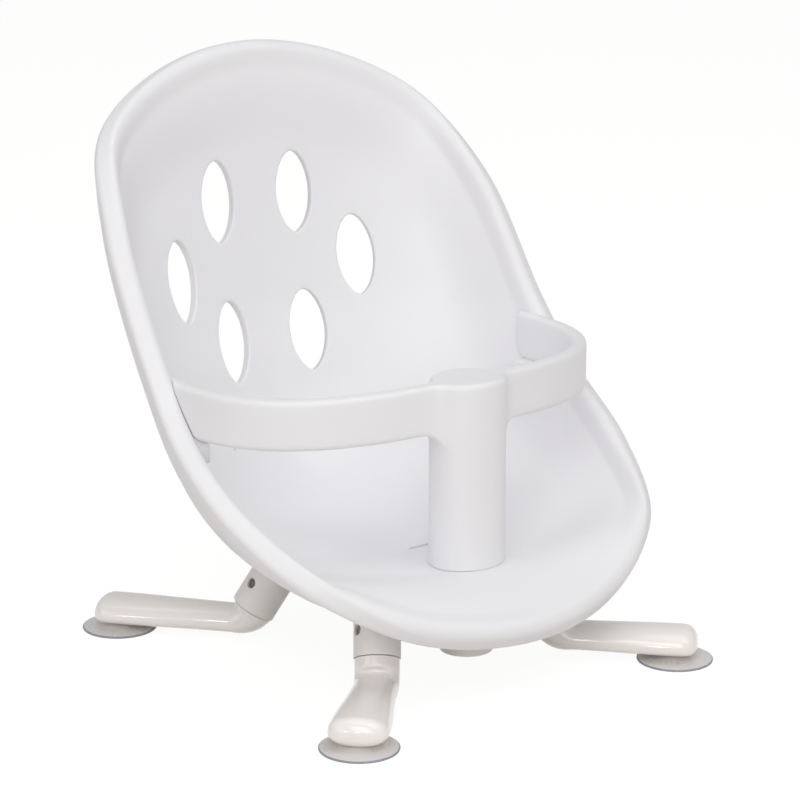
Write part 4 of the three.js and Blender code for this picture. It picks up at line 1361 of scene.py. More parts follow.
@dataclass
class WaistBar:
    """The band round the waist, its post, its tongues and its split spigot, in one moulding."""

    bowl: Bowl
    centre_y: float = 30.0
    reach_side: float = 150.0
    reach_front: float = 112.0
    squareness: float = 2.5
    end_y: float = 49.0
    thickness: float = 10.0
    height: float = 32.5
    edge: float = 3.5
    top_at_post: float = 200.0
    top_at_ends: float = 196.0
    lug: tuple[float, float] = (6.0, 38.0)
    lug_drop: float = 20.0
    lug_root: float = 1.5
    lug_knee: float = 161.0
    lug_voxel: float = 0.7
    lug_inside: float = 100.0
    lug_outside: float = 180.0
    lug_lean: float = 2.0
    post_y: float = POST_Y
    post_half: tuple[float, float] = (25.0, 21.5)
    post_squareness: float = 2.2
    underside_fillet: float = 12.0
    front_fillet: float = 14.0
    rear_fillet: float = 9.0
    spigot_radius: float = 13.0
    spigot_wall: float = 3.0
    spigot_end: float = 31.0
    spigot_slot: tuple[float, float] = (3.0, 20.0)
    spigot_root: float = 8.0
    post_sunk: float = 4.0
    end_round: float = 4.0
    plan_steps: int = 900
    voxel: float = 0.95
    settle: int = 7

    def superellipse(
        self, half: tuple[float, float], power: float, steps: int
    ) -> tuple[np.ndarray, np.ndarray]:
        """A superellipse, starting at +x and going round by +y.

        Args:
            half: Half its width and half its depth.
            power: How square it is.
            steps: The number of points.

        Returns:
            Its points and its outward normals.
        """
        angles = np.arange(steps) * 2 * math.pi / steps
        c, s = np.cos(angles), np.sin(angles)
        shape = np.stack([
            half[0] * np.sign(c) * np.abs(c) ** (2 / power),
            half[1] * np.sign(s) * np.abs(s) ** (2 / power),
        ], 1)
        out = np.sign(shape) * np.abs(shape / np.array(half)) ** (power - 1) / np.array(half)
        return shape, unit(out)

    def band_line(self, steps: int = 1200, along_end: int = 20) -> tuple[np.ndarray, np.ndarray]:
        """The band's outer face in plan for x above 0, from the front to its left end.

        Args:
            steps: The points round its bend.
            along_end: The points along its straight end.

        Returns:
            The points and their outward normals.
        """
        tiny = 0.0005
        angles = np.linspace(tiny, math.pi / 2 - tiny, steps)
        power = self.squareness
        share = np.stack([np.sin(angles) ** (2 / power), np.cos(angles) ** (2 / power)], 1)
        half = np.array([self.reach_side, self.reach_front])
        face = share * half * np.array([1, -1]) + np.array([0, self.centre_y])
        out = unit(share ** (power - 1) / half * np.array([1, -1]))
        straight = np.linspace(self.centre_y + 0.5, self.end_y, along_end)
        face = np.vstack([face, np.column_stack([np.full(along_end, self.reach_side), straight])])
        return face, np.vstack([out, np.tile([1.0, 0.0], (along_end, 1))])

    def filleted(self, line: np.ndarray, out: np.ndarray, radius: float, front: bool) -> np.ndarray:
        """Half of a face's outline, from its end to the middle of the post, with a fillet between.

        Args:
            line: The band's face, from the front to its end.
            out: Normals that point away from the band's material.
            radius: The fillet's radius.
            front: Whether the post's front is met, or its rear.

        Returns:
            The outline's points.
        """
        shape, normal = self.superellipse(self.post_half, self.post_squareness, steps=1440)
        shape = shape + np.array([0, self.post_y])
        keep = (shape[:, 0] >= 0) & ((shape[:, 1] <= self.post_y) if front else (shape[:, 1] >= self.post_y))
        shape, normal = shape[keep], normal[keep]
        order = np.argsort(-shape[:, 0])
        shape, normal = shape[order], normal[order]
        offset_band = line + out * radius
        offset_post = shape + normal * radius
        widest = 2.5 * self.post_half[0]
        near = line[:, 0] < widest
        gaps = np.linalg.norm(offset_band[near][:, None] - offset_post[None], axis=2)
        i, j = np.unravel_index(gaps.argmin(), gaps.shape)
        centre = offset_post[j]
        start, end = -out[i], -normal[j]
        turn = np.arctan2(end[1], end[0]) - np.arctan2(start[1], start[0])
        turn = (turn + math.pi) % (2 * math.pi) - math.pi
        angles = np.arctan2(start[1], start[0]) + turn * np.linspace(0, 1, 16)[1:-1]
        bend = centre + radius * np.stack([np.cos(angles), np.sin(angles)], 1)
        return np.vstack([line[i:][::-1], bend, shape[j:]])

    def plan(self) -> np.ndarray:
        """The closed outline of the band and the post together, seen from above.

        Returns:
            The outline's points, evenly spaced.
        """
        face, out = self.band_line()
        front = self.filleted(face, out, self.front_fillet, True)
        inner = face - out * self.thickness
        rear = self.filleted(inner, -out, self.rear_fillet, False)
        r = self.end_round
        turn = self.end_y - r
        outside, inside = self.reach_side - r, self.reach_side - self.thickness + r
        end = np.vstack([arc((outside, turn), r, 0, 90, 8), arc((inside, turn), r, 90, 180, 8)])
        half = np.vstack([front[front[:, 1] < turn][::-1][1:], end, rear[rear[:, 1] < turn]])
        whole = np.vstack([half, (half * np.array([-1, 1]))[::-1]])
        steps = np.linalg.norm(np.diff(np.vstack([whole, whole[:1]]), axis=0), axis=1)
        walked = np.concatenate([[0], np.cumsum(steps)])
        closed = np.vstack([whole, whole[:1]])
        even = np.linspace(0, walked[-1], self.plan_steps, endpoint=False)
        return np.stack([np.interp(even, walked, closed[:, k]) for k in range(2)], 1)

    def band(self) -> Form:
        """The band with the top of the post, rounded along its top and bottom edges.

        Returns:
            The form.
        """
        outline = self.plan()
        out = np.roll(outline, -1, 0) - np.roll(outline, 1, 0)
        out = unit(np.stack([out[:, 1], -out[:, 0]], 1))
        area = np.sum(outline[:, 0] * np.roll(outline[:, 1], -1) - outline[:, 1] * np.roll(outline[:, 0], -1))
        out = out * np.sign(area)
        turns = np.linspace(0, math.pi / 2, 7)
        low, high = self.top_at_post - self.height, self.top_at_post
        rows = [(self.edge * (1 - math.sin(a)), low + self.edge * (1 - math.cos(a))) for a in turns]
        rows += [(inset, high + low - z) for inset, z in rows[::-1]]
        drop = (self.top_at_post - self.top_at_ends) * np.abs(outline[:, 0]) / self.reach_side
        rings = [np.column_stack([outline - out * inset, z - drop]) for inset, z in rows]
        form = loft(rings, close_ends=False)
        count = len(outline)
        form.faces += [tuple(range(count))[::-1], tuple(range((len(rows) - 1) * count, len(rows) * count))]
        return form

    def post(self, foot: float) -> Form:
        """The oval post up into the band.

        Args:
            foot: The height of its foot.

        Returns:
            The form.
        """
        shape, _ = self.superellipse(self.post_half, self.post_squareness, steps=144)
        shape = shape + np.array([0, self.post_y])
        top = self.top_at_post - self.height / 2
        return prism(shape, foot, top, np.eye(4))

    def collar(self) -> Form:
        """The post's outline flared up into the band, before it is trimmed to the band's plan.

        Returns:
            The form.
        """
        shape, normal = self.superellipse(self.post_half, self.post_squareness, steps=144)
        foot, r = self.top_at_post - self.height, self.underside_fillet
        turns = np.linspace(0, math.pi / 2, 16)
        rows = [(r * (1 - math.cos(a)), foot - r * (1 - math.sin(a))) for a in turns]
        rows.append((r, foot + self.height / 2))
        return loft([
            np.column_stack([shape + normal * grown + np.array([0, self.post_y]), np.full(len(shape), z)])
            for grown, z in rows
        ])

    def tongue(self, side: int) -> Form:
        """A tongue's block, before it is trimmed to lie against the wall.

        Args:
            side: 1 for the child's left, -1 for the right.

        Returns:
            The form.
        """
        root = self.top_at_ends - self.height + self.lug_root
        foot = self.top_at_ends - self.height - self.lug_drop
        front, rear = self.lug
        r = (rear - front) / 2
        bend = arc(((front + rear) / 2, foot + r), r, 180, 360, 24)
        outline = np.vstack([[[front, self.lug_knee]], bend, [[rear, root], [self.lean_back(root), root]]])
        return prism(outline, 0, self.lug_outside - self.lug_inside, facing_side(side, self.lug_inside))

    def lean_back(self, height: float) -> float:
        """How far back the rim lets the tongue and its pad start.

        Args:
            height: The height that is asked about.

        Returns:
            The y of the front edge there.
        """
        top = self.top_at_ends - self.edge
        share = (height - self.lug_knee) / (top - self.lug_knee)
        return self.lug[0] + share * (self.lug[1] + self.lug_lean - self.lug[0])

    def pad(self, side: int) -> Form:
        """The pad between the band's outer face and the wall, above the tongue.

        Args:
            side: 1 for the child's left, -1 for the right.

        Returns:
            The form.
        """
        low, top = self.top_at_ends - self.height + self.lug_root - 2, self.top_at_ends - self.edge
        outline = np.array([
            [self.lean_back(low), low], [self.lug[1], low], [self.end_y, top], [self.lean_back(top), top]])
        start = self.reach_side - self.thickness / 2
        return prism(outline, 0, self.lug_outside - start, facing_side(side, start))

    def spigot(self, floor: float) -> bpy.types.Object:
        """The hollow split spigot below the post.

        Args:
            floor: The height of the seat's floor, where the post ends.

        Returns:
            The spigot, ready to be joined.
        """
        centre = np.array([0, self.post_y, 0])
        width, tall = self.spigot_slot
        reach = 2 * self.spigot_radius
        body = rod(centre, UP, self.spigot_radius, self.spigot_end, floor + self.spigot_root).piece("spigot")
        inside = self.spigot_radius - self.spigot_wall
        bore = rod(centre, UP, inside, self.spigot_end - 1, floor).piece("bore")
        split = np.array([
            [-width / 2, -reach], [width / 2, -reach], [width / 2, reach], [-width / 2, reach]])
        slot = prism(split, self.spigot_end - 1, self.spigot_end + tall, standing(centre, UP)).piece("slot")
        return combined(body, [bore, slot], Cut.TAKE_AWAY)

    def build(self, finishes: Finishes) -> bpy.types.Object:
        """Builds the bar, softens its joins and stands it for its CAD node.

        Args:
            finishes: The seat's materials.

        Returns:
            The finished piece.
        """
        coarse = ShellWall(self.bowl, steps=288, fineness=2)
        floor = float(self.bowl.facing(0.0, Meet.FLOOR_Y, self.post_y)[0][2]) + coarse.wall
        blank = self.band().piece("moulded_waist_bar")
        under = prism(
            self.plan(), self.top_at_post - self.height - self.underside_fillet,
            self.top_at_post - self.height / 2, np.eye(4))
        collar = combined(self.collar().piece("collar"), [under.piece("under")], Cut.KEEP_SHARED)
        combined(blank, [self.post(floor - self.post_sunk).piece("post"), collar], Cut.JOIN)
        melted(blank, self.voxel, self.settle)
        for side in (1, -1):
            against = coarse.solid(0.0, self.thickness).piece("against")
            tongue = combined(self.tongue(side).piece("tongue"), [self.pad(side).piece("pad")], Cut.JOIN)
            combined(tongue, [against], Cut.KEEP_SHARED)
            combined(blank, [melted(tongue, self.lug_voxel, self.settle)], Cut.JOIN)
        combined(blank, [coarse.solid(GAP, GAP).piece("wall")], Cut.TAKE_AWAY)
        largest_part(blank)
        combined(blank, [self.spigot(floor)], Cut.JOIN)
        return finished(shaded(blank, sharp_over=40), "waist_bar", finishes.bar, ["waist_bar"])


@dataclass(frozen=True)
class LegPlan:
    """Where one kind of leg turns, stands and splays."""

    elbow: tuple[float, float]
    cup: tuple[float, float]
    heading: tuple[float, float]
    seam: float


LEG_PLANS = {
    "front": LegPlan((75, -82), (128, -135), (0.6, -0.8), 15),
    "rear": LegPlan((72, 67), (128, 137), (0.83, 0.56), 8),
}


@dataclass
class Leg:
    """One leg: a bent tube whose neck plugs into the base, and whose arm ends in a round toe."""

    corner: str
    radius: float = 15.0
    splay: float = 31.4
    socket_wall: float = 3.0
    spigot_length: float = 35.0
    spigot_wall: float = 2.6
    seam_gap: float = 0.6
    neck_step: float = 0.6
    arm_height: float = 17.4
    arm_centre: float = 13.9
    toe_width: float = 38.0
    toe_beyond: float = 15.0
    toe_length: float = 14.5
    toe_squareness: float = 2.8
    toe_brow: float = 9.5
    toe_chin: float = 5.5
    arm_squareness: float = 2.3
    dome: float = 2.6
    voxel: float = 0.8
    settle: int = 8
    elbow_reach: float = 8.0
    facets: int = 56
    elbow_steps: int = 21
    arm_steps: int = 26
    toe_turns: tuple[int, ...] = (0, 6, 12, 18, 24, 30, 36, 42, 48, 54, 60, 66, 72, 77, 81, 85, 88)
    button_radius: float = 3.2
    button_above: float = 17.0
    stem_radius: float = 5.5
    stem_height: float = 8.0

    def __post_init__(self) -> None:
        """Works out the leg's axes."""
        kind, side_name = self.corner.split("_")
        side = 1 if side_name == "left" else -1
        plan = LEG_PLANS[kind]
        lean = math.radians(self.splay)
        out = unit(np.array([side * plan.heading[0], plan.heading[1]]))
        self.seam = plan.seam
        self.axis = np.array([-out[0] * math.sin(lean), -out[1] * math.sin(lean), math.cos(lean)])
        self.elbow = np.array([side * plan.elbow[0], plan.elbow[1], self.arm_centre])
        self.cup = np.array([side * plan.cup[0], plan.cup[1], 0.0])
        along = (self.cup - self.elbow) * np.array([1, 1, 0])
        self.reach = float(np.linalg.norm(along))
        self.arm = unit(along)
        aside = np.array([side, 0.0, 0.0])
        self.press = unit(aside - self.axis * (aside @ self.axis))
        self.lock = self.elbow + self.axis * (self.seam + self.button_above)

    @property
    def bore(self) -> float:
        """The socket's bore."""
        return self.radius - self.socket_wall

    @property
    def spigot_radius(self) -> float:
        """The outside of the leg's spigot."""
        return self.bore - RUNNING / 2

    @property
    def spigot_bore(self) -> float:
        """The inside of the leg's spigot."""
        return self.spigot_radius - self.spigot_wall

    def ring(
        self, centre: np.ndarray, tangent: np.ndarray, wide: float, tall: float, power: float,
        dome: float = 0.0,
    ) -> np.ndarray:
        """A section across the leg, from round at the neck to flat and squarish along the arm.

        Args:
            centre: Its middle.
            tangent: The way along the leg.
            wide: Half its width.
            tall: Half its height.
            power: How square it is.
            dome: How far its widest place lies below its middle.

        Returns:
            The section's points.
        """
        aside = unit(np.cross(tangent, UP))
        above = np.cross(aside, tangent)
        angles = np.arange(self.facets) * 2 * math.pi / self.facets
        c, s = np.cos(angles), np.sin(angles)
        across = wide * np.sign(c) * np.abs(c) ** (2 / power)
        up = (tall + np.sign(s) * dome) * np.sign(s) * np.abs(s) ** (2 / power) - dome
        return centre + across[:, None] * aside + up[:, None] * above

    def body(self) -> Form:
        """The leg from its seam round the elbow and along the arm to the toe.

        Returns:
            The form.
        """
        neck, half = self.radius - self.neck_step, self.arm_height / 2
        rings = [
            self.ring(self.elbow + self.axis * (self.seam + over), -self.axis, neck, neck, 2)
            for over in (4.0, 2.0, 0.0)
        ]
        a = self.elbow + self.axis * (self.elbow_reach - self.seam_gap)
        b, c = self.elbow, self.elbow + self.arm * self.elbow_reach
        for t in np.linspace(0, 1, self.elbow_steps):
            centre = (1 - t) ** 2 * a + 2 * (1 - t) * t * b + t * t * c
            tangent = unit(2 * (1 - t) * (b - a) + 2 * t * (c - b))
            tall, power = neck + (half - neck) * t, 2 + (self.arm_squareness - 2) * t
            rings.append(self.ring(centre, tangent, neck, tall, power, self.dome * t))
        toe = self.toe_width / 2
        shoulder = self.reach + self.toe_beyond - self.toe_length
        for along in np.linspace(self.elbow_reach, shoulder, self.arm_steps)[1:-1]:
            wide = neck + (toe - neck) * float(smoothstep(np.array(along), self.elbow_reach, shoulder))
            centre = self.elbow + self.arm * along
            rings.append(self.ring(centre, self.arm, wide, half, self.arm_squareness, self.dome))

        def rounded(beyond: float, radius: float) -> float:
            """Half the toe's height at a place, rounded off towards its end.

            Args:
                beyond: How far past the shoulder the place is.
                radius: The radius of the rounding.

            Returns:
                The height from the arm's middle.
            """
            into = min(radius, max(0.0, beyond - (self.toe_length - radius)))
            return half - radius + math.sqrt(radius ** 2 - into ** 2)

        for angle in np.radians(self.toe_turns):
            beyond = self.toe_length * math.sin(angle) ** (2 / self.toe_squareness)
            wide = toe * math.cos(angle) ** (2 / self.toe_squareness)
            top, foot = rounded(beyond, self.toe_brow), -rounded(beyond, self.toe_chin)
            centre = self.elbow + self.arm * (shoulder + beyond) + UP * (top + foot) / 2
            share = (top - foot) / 2 / half
            rings.append(self.ring(
                centre, self.arm, wide, half * share, self.arm_squareness, self.dome * share))
        return loft(rings)

    def build(self, finishes: Finishes) -> bpy.types.Object:
        """Builds the leg with its hollow spigot and stands it for its CAD node.

        Args:
            finishes: The seat's materials.

        Returns:
            The finished piece.
        """
        leg = melted(self.body().piece(f"moulded_leg_{self.corner}"), self.voxel, self.settle)
        end = self.seam + self.spigot_length
        wide, tall = self.radius * 1.6, self.seam + 12
        above = rod(self.elbow, self.axis, wide, self.seam - self.seam_gap / 2, tall)
        combined(leg, [above.piece("above_seam")], Cut.TAKE_AWAY)
        spigot = rod(self.elbow, self.axis, self.spigot_radius, self.seam - 2, end).piece("spigot")
        combined(leg, [spigot], Cut.JOIN)
        top = self.arm_centre - self.arm_height / 2 - GAP + self.stem_height + GAP
        cutters = [
            rod(self.elbow, self.axis, self.spigot_bore, self.seam + 1, end + 1),
            rod(self.lock, self.press, self.button_radius + GAP, 0, self.radius),
            rod(self.cup, UP, self.stem_radius + GAP, 0, top),
        ]
        combined(leg, [c.piece("cutter") for c in cutters], Cut.TAKE_AWAY)
        return finished(
            shaded(leg, sharp_over=32), SEAT_BODY, finishes.leg, [f"leg_{self.corner}"])


@dataclass
class SeatBase:
    """The base under the seat: plate, leg sockets, post socket, ribs and screw bosses."""

    wall: ShellWall
    legs: Sequence[Leg]
    plate: float = 4.0
    half_width: float = 62.0
    front_y: float = -72.0
    rear_y: float = 66.0
    corner: float = 26.0
    rib: float = 4.0
    rib_depth: float = 20.0
    post_y: float = POST_Y
    socket_radius: float = 17.0
    socket_bore: float = POST_BORE
    socket_bottom: float = 19.0
    socket_floor: float = 3.0
    button_hole: float = 9.4
    boss_radius: float = 6.5
    boss_drop: float = 10.0
    shank_hole: float = 2.3
    shank_radius: float = 2.0
    shank_top: float = 4.0
    screw_head: tuple[tuple[float, float], ...] = (
        (0.0, -1.2), (1.4, -1.2), (1.4, -2.4), (3.0, -2.4), (3.7, -2.0), (4.0, -1.2), (4.0, 0.0),
    )
    screw_x: float = 37.0
    screw_rows: tuple[float, float] = (-22.0, 14.0)
    blank_top: float = 190.0
    neck_top: float = 95.0
    into_shell: float = 6.0
    cutter_top: float = 120.0
    end_play: float = 1.5
    facets: int = 72

    def screw_points(self) -> list[np.ndarray]:
        """Where the screws stand on the shell's outer surface."""
        bowl = self.wall.bowl
        across = (self.screw_x, -self.screw_x)
        return [bowl.facing(x, Meet.FLOOR_Y, y)[0] for y in self.screw_rows for x in across]

    def plate_outline(self) -> np.ndarray:
        """The plate's outline, with round corners.

        Returns:
            The outline's points.
        """
        r = self.corner
        x, rear, front = self.half_width - r, self.rear_y - r, self.front_y + r
        middles = ((x, rear), (-x, rear), (-x, front), (x, front))
        return np.vstack([arc(middle, r, 90 * i, 90 * i + 90, 20) for i, middle in enumerate(middles)])

    def rib_between(self, a: np.ndarray, b: np.ndarray, low: float, high: float) -> Form:
        """A straight upright rib between two points in plan.

        Args:
            a: Where it starts.
            b: Where it ends.
            low: The height of its foot.
            high: The height of its top.

        Returns:
            The form.
        """
        run = (b - a)[:2]
        aside = unit(np.array([-run[1], run[0]])) * self.rib / 2
        outline = np.array([a[:2] - aside, b[:2] - aside, b[:2] + aside, a[:2] + aside])
        return prism(outline, low, high, np.eye(4))

    def build(self, finishes: Finishes) -> bpy.types.Object:
        """Builds the base and stands it for its CAD node.

        Args:
            finishes: The seat's materials.

        Returns:
            The finished piece.
        """
        post = np.array([0, self.post_y, 0.0])
        floor = float(self.wall.bowl.facing(0.0, Meet.FLOOR_Y, self.post_y)[0][2])
        ceiling = floor + self.wall.wall
        lowered = self.wall.inner_space(GAP)
        lowered.points = lowered.points - UP * self.plate
        base = prism(self.plate_outline(), 0, self.blank_top, np.eye(4)).piece("moulded_seat_base")
        combined(base, [lowered.piece("lowered")], Cut.KEEP_SHARED)
        entries = [leg.elbow + leg.axis * ((floor - leg.elbow[2]) / leg.axis[2]) for leg in self.legs]
        rearward = np.array([0, entries[CORNERS.index("rear_left")][1] / 2, 0])
        bottom = floor - self.plate - self.rib_depth
        top = ceiling + self.into_shell
        boss = -self.plate - self.boss_drop
        forms = [
            rod(leg.elbow, leg.axis, leg.radius, leg.seam + leg.seam_gap / 2, self.neck_top, self.facets)
            for leg in self.legs
        ]
        forms += [self.rib_between(e, np.array([0, e[1] / 2, 0]), bottom, top) for e in entries]
        forms.append(self.rib_between(post, rearward, bottom, top))
        forms.append(rod(post, UP, self.socket_radius, self.socket_bottom, ceiling, self.facets))
        forms += [rod(point, UP, self.boss_radius, boss, 0, steps=48) for point in self.screw_points()]
        combined(base, [f.piece("join") for f in forms], Cut.JOIN)
        combined(base, [self.wall.inner_space(GAP).piece("inside")], Cut.TAKE_AWAY)
        inside = self.socket_bottom + self.socket_floor
        cutters = [rod(post, UP, self.socket_bore, inside, self.cutter_top, self.facets)]
        cutters.append(rod(post, UP, self.button_hole, 0, self.cutter_top, self.facets))
        for leg in self.legs:
            end = leg.seam + leg.spigot_length + self.end_play
            cutters.append(rod(leg.elbow, leg.axis, leg.bore, leg.seam - 1, end, self.facets))
            hole = leg.button_radius + GAP
            cutters.append(rod(leg.lock, leg.press, hole, 0, leg.radius + 2, steps=40))
        cutters += [rod(point, UP, self.shank_hole, boss - 1, 1, steps=24) for point in self.screw_points()]
        combined(base, [c.piece("cutter") for c in cutters], Cut.TAKE_AWAY)
        return finished(
            shaded(base, sharp_over=32), SEAT_BODY, finishes.base, ["seat_base"])

    def screws(self, finishes: Finishes) -> bpy.types.Object:
        """The screws that hold the base to the shell, as one pattern.

        Args:
            finishes: The seat's materials.

        Returns:
            The finished piece.
        """
        head = -self.plate - self.boss_drop - GAP
        profile = (
            *[(radius, head + height) for radius, height in self.screw_head],
            (self.shank_radius, head), (self.shank_radius, self.shank_top), (0.0, self.shank_top),
        )
        points = self.screw_points()
        pattern = TurnedPattern(
            "base_screws", profile, points, [UP] * len(points), finishes.steel, facets=32)
        nodes = [f"base_screw_{i + 1}" for i in range(len(points))]
        return finished(pattern.piece(), SEAT_BODY, finishes.steel, nodes)


@dataclass
class ReleaseButton:
    """The button in the bottom of the post's socket that lets the bar go."""

    post_y: float = POST_Y
    radius: float = 9.0
    flange_radius: float = 12.6
    flange: float = 2.0
    bottom: float = 18.0
    dish: tuple[tuple[float, float], ...] = (
        (0.0, 0.7), (3.0, 0.6), (5.4, 0.2), (6.6, 0.0), (8.0, 0.05), (8.7, 0.35), (9.0, 1.0),
    )
    seat: float = 22.3

    def build(self, finishes: Finishes) -> bpy.types.Object:
        """Builds the button, with a shallow dish for the finger.

        Args:
            finishes: The seat's materials.

        Returns:
            The finished piece.
        """
        top = self.seat + self.flange
        profile = (
            *[(radius, self.bottom + height) for radius, height in self.dish],
            (self.radius, self.seat), (self.flange_radius, self.seat), (self.flange_radius, top), (0.0, top),
        )
        pattern = TurnedPattern(
            "bar_release_button", profile, [np.array([0, self.post_y, 0.0])], [UP], finishes.button)
        return finished(
            pattern.piece(), "waist_bar_release", finishes.button,
            ["waist_bar_release_button"])


@dataclass
class LockButton:
    """The button that locks one leg."""

    leg: Leg
    flange: float = 1.2
    flange_step: float = 1.4
    recess: float = 1.4
    dome: float = 1.0

    def build(self, finishes: Finishes) -> bpy.types.Object:
        """Builds the button on its own body.

        Args:
            finishes: The seat's materials.

        Returns:
            The finished piece.
        """
        leg = self.leg
        seat = leg.spigot_bore - GAP
        tip = leg.radius - self.recess
        flange = leg.button_radius + self.flange_step
        inner = math.sqrt(seat ** 2 - flange ** 2)
        r, d = leg.button_radius, self.dome
        profile = (
            (0.0, inner - self.flange), (flange, inner - self.flange), (flange, inner), (r, inner),
            (r, tip - d), (r - 0.3 * d, tip - 0.35 * d), (r - d, tip - 0.06 * d), (0.0, tip),
        )
        pattern = TurnedPattern(
            f"leg_lock_button_{leg.corner}", profile, [leg.lock], [leg.press], finishes.button,
            facets=40)
        return finished(
            pattern.piece(), f"lock_{leg.corner}", finishes.button,
            [f"lock_button_{leg.corner}"])


@dataclass
class LockSpring:
    """The bent leaf spring behind a lock button."""

    leg: Leg
    between_leaves: float = 12.8

    def build(self, finishes: Finishes) -> bpy.types.Object:
        """Builds the spring in its CAD node's shape.

        Args:
            finishes: The seat's materials.

        Returns:
            The finished piece.
        """
        name = f"lock_spring_{self.leg.corner}"
        spring = bpy.data.objects.new(f"leaf_{name}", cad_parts[name].data.copy())
        bpy.context.scene.collection.objects.link(spring)
        spring.data.materials.clear()
        spring.data.materials.append(finishes.steel)
        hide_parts(name)
        half = self.leg.press * self.between_leaves / 2
        start, end = packed(self.leg.lock - half), packed(self.leg.lock + half)
        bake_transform(spring)
        return spring


@dataclass
class SuctionCups:
    """The four cups, turned alike: a thin dished disc, a neck and a stem in the toe."""

    legs: Sequence[Leg]
    radius: float = 25.0
    lip: float = 1.2

    def build(self, finishes: Finishes) -> bpy.types.Object:
        """Builds the cups as one pattern.

        Args:
            finishes: The seat's materials.

        Returns:
            The finished piece.
        """
        leg = self.legs[0]
        top = leg.arm_centre - leg.arm_height / 2 - GAP
        tip = top + leg.stem_height
        s, r, lip = leg.stem_radius, self.radius, self.lip
        profile = (
            (0.0, tip), (s - 1, tip), (s - 0.3, tip - 0.3), (s, tip - 1), (s, top), (s * 1.6, top),
            (s * 1.75, top - 0.35), (r * 0.55, lip * 2.35), (r * 0.72, lip * 1.9), (r * 0.9, lip * 1.35),
            (r - 0.5, lip), (r - 0.1, lip * 0.75), (r, lip * 0.4), (r - 0.15, 0.0), (r - 1.6, 0.0),
            (r * 0.85, lip * 0.45), (r * 0.6, lip * 0.95), (0.0, top * 0.5),
        )
        pattern = TurnedPattern(
            "vinyl_suction_cups", profile, [leg.cup for leg in self.legs], [UP] * len(self.legs),
            finishes.cup, facets=96)
        return finished(
            pattern.piece(), SEAT_BODY, finishes.cup,
            [f"suction_cup_{leg.corner}" for leg in self.legs])


# The studio


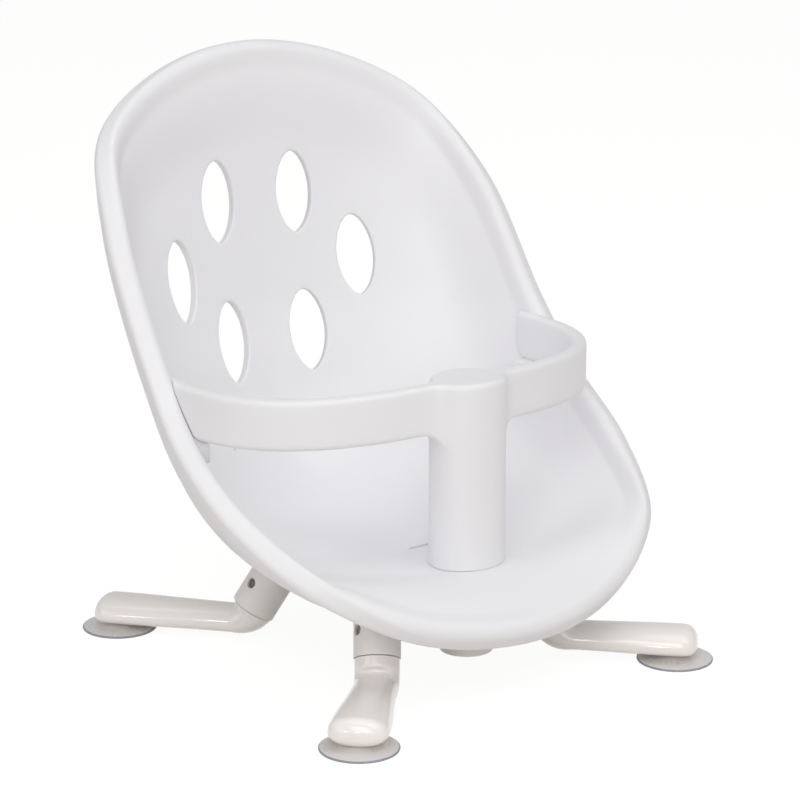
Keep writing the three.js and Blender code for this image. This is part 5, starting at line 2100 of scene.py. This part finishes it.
@dataclass
class Studio:
    """A white floor, soft lamps, an even sky and the camera at the photograph's angle."""

    camera_place: tuple[float, float, float] = (-1.128, -1.5075, 0.687)
    looking: tuple[float, float, float] = (0.5813, 0.7686, -0.2672)
    lens: float = 135.0
    sensor: float = 36.0
    farthest: float = 50.0
    aim: tuple[float, float, float] = (0.0, 0.0, 0.18)
    sky: float = 0.355
    lamps: tuple[tuple[str, tuple[float, float, float], float, float], ...] = (
        ("key", (-1.7, -1.7, 2.0), 1.5, 19.2),
        ("low_front", (-1.1, -2.1, 0.9), 1.0, 7.0),
        ("top_front", (0.5, -1.2, 2.1), 1.4, 8.5),
        ("right_front", (0.9, -2.0, 0.8), 1.2, 2.0),
        ("left_side", (-2.3, 0.1, 0.9), 1.2, 5.3),
        ("overhead", (0.0, -0.1, 2.6), 2.0, 11.0),
    )
    gleams: tuple[tuple[str, tuple[float, float, float]], ...] = (
        ("gleam_left", (-2.3, -0.92, 0.6)),
        ("gleam_right", (-1.83, -1.58, 0.63)),
    )
    gleam_size: float = 0.24
    gleam: float = 3.2
    floor_reach: float = 30.0
    floor_white: float = 1.15
    floor_share: float = 0.8
    floor_colour: tuple[float, float, float] = (0.76, 0.72, 0.68)
    glossy_sky: float = 0.35

    def camera(self) -> None:
        """Places the camera."""
        data = bpy.data.cameras.new("view")
        data.lens = self.lens
        data.sensor_width = self.sensor
        data.clip_end = self.farthest
        made = bpy.data.objects.new("view", data)
        bpy.context.scene.collection.objects.link(made)
        made.location = self.camera_place
        made.rotation_euler = Vector(self.looking).to_track_quat("-Z", "Y").to_euler()
        bpy.context.scene.camera = made

    def lamp(
        self, name: str, place: Sequence[float], size: float, power: float, only_gleams: bool = False
    ) -> None:
        """Hangs a square lamp that faces the seat.

        Args:
            name: Its name.
            place: Where it hangs.
            size: Its side.
            power: Its power.
            only_gleams: Whether it is seen in reflections alone.
        """
        data = bpy.data.lights.new(name, "AREA")
        data.shape = "SQUARE"
        data.size = size
        data.energy = power
        made = bpy.data.objects.new(name, data)
        bpy.context.scene.collection.objects.link(made)
        made.location = place
        made.visible_diffuse = not only_gleams
        way = Vector(self.aim) - Vector(place)
        made.rotation_euler = way.to_track_quat("-Z", "Y").to_euler()

    def sees(self, shader: Shader) -> Value:
        """Where the camera, a reflection or a clear piece looks straight at a surface.

        Args:
            shader: The floor's shader.

        Returns:
            1 where it does, and 0 elsewhere.
        """
        straight, glossy, through = shader.rays("Camera", "Glossy", "Transmission")
        return straight.larger(glossy).larger(through)

    def floor(self) -> None:
        """Lays the floor: nearly white where it is seen, with a trace of the seat's shadow."""
        reach = self.floor_reach
        corners = [(-reach, -reach, 0), (reach, -reach, 0), (reach, reach, 0), (-reach, reach, 0)]
        mesh = bpy.data.meshes.new("studio_floor")
        mesh.from_pydata(corners, [], [(0, 1, 2, 3)])
        made = bpy.data.objects.new("studio_floor", mesh)
        bpy.context.scene.collection.objects.link(made)
        shader = Shader(bpy.data.materials.new("white floor"))
        lit = shader.node("ShaderNodeBsdfDiffuse", {}, {"Color": self.floor_colour})
        white = shader.node("ShaderNodeEmission", {}, {"Color": WHITE, "Strength": self.floor_white})
        share = self.sees(shader) * self.floor_share
        mixed = shader.node("ShaderNodeMixShader", {}, {0: share, 1: lit, 2: white})
        shader.node("ShaderNodeOutputMaterial", {}, {"Surface": mixed})
        mesh.materials.append(shader.owner)

    def world(self) -> None:
        """Fills the sky: white to the camera, dimmer in reflections, and dimmest as light."""
        bpy.context.scene.world = bpy.data.worlds.new("studio")
        shader = Shader(bpy.context.scene.world)
        straight, glossy = shader.rays("Camera", "Glossy")
        light = shader.node("ShaderNodeBackground", {}, {"Color": WHITE, "Strength": self.sky})
        seen = shader.node("ShaderNodeBackground", {}, {"Color": WHITE, "Strength": 1.0})
        share = glossy * self.glossy_sky + straight
        mixed = shader.node("ShaderNodeMixShader", {}, {0: share, 1: light, 2: seen})
        shader.node("ShaderNodeOutputWorld", {}, {"Surface": mixed})

    def build(self) -> None:
        """Sets up the whole studio."""
        self.camera()
        self.floor()
        self.world()
        for name, place, size, power in self.lamps:
            self.lamp(name, place, size, power)
        for name, place in self.gleams:
            self.lamp(name, place, self.gleam_size, self.gleam, only_gleams=True)
        bpy.context.scene.view_settings.view_transform = "Standard"


def main() -> None:
    """Builds the seat's pieces in order and reports each one, then builds the studio."""
    logging.basicConfig(level=logging.INFO, format="%(name)s: %(message)s")
    finishes = Finishes.mixed()
    bowl = Bowl()
    legs = [Leg(corner) for corner in CORNERS]
    base = SeatBase(ShellWall(bowl, steps=216, fineness=2), legs)
    steps: list[Callable[[Finishes], bpy.types.Object]] = [
        SeatShell(ShellWall(bowl)).build, WaistBar(bowl).build, base.build, base.screws,
        ReleaseButton().build,
    ]
    for leg in legs:
        steps += [leg.build, LockButton(leg).build, LockSpring(leg).build]
    steps.append(SuctionCups(legs).build)
    for step in steps:
        piece = step(finishes)
        log.info("%s: %d faces", piece.name, len(piece.data.polygons))
    Studio().build()


if __name__ == "__main__":
    main()
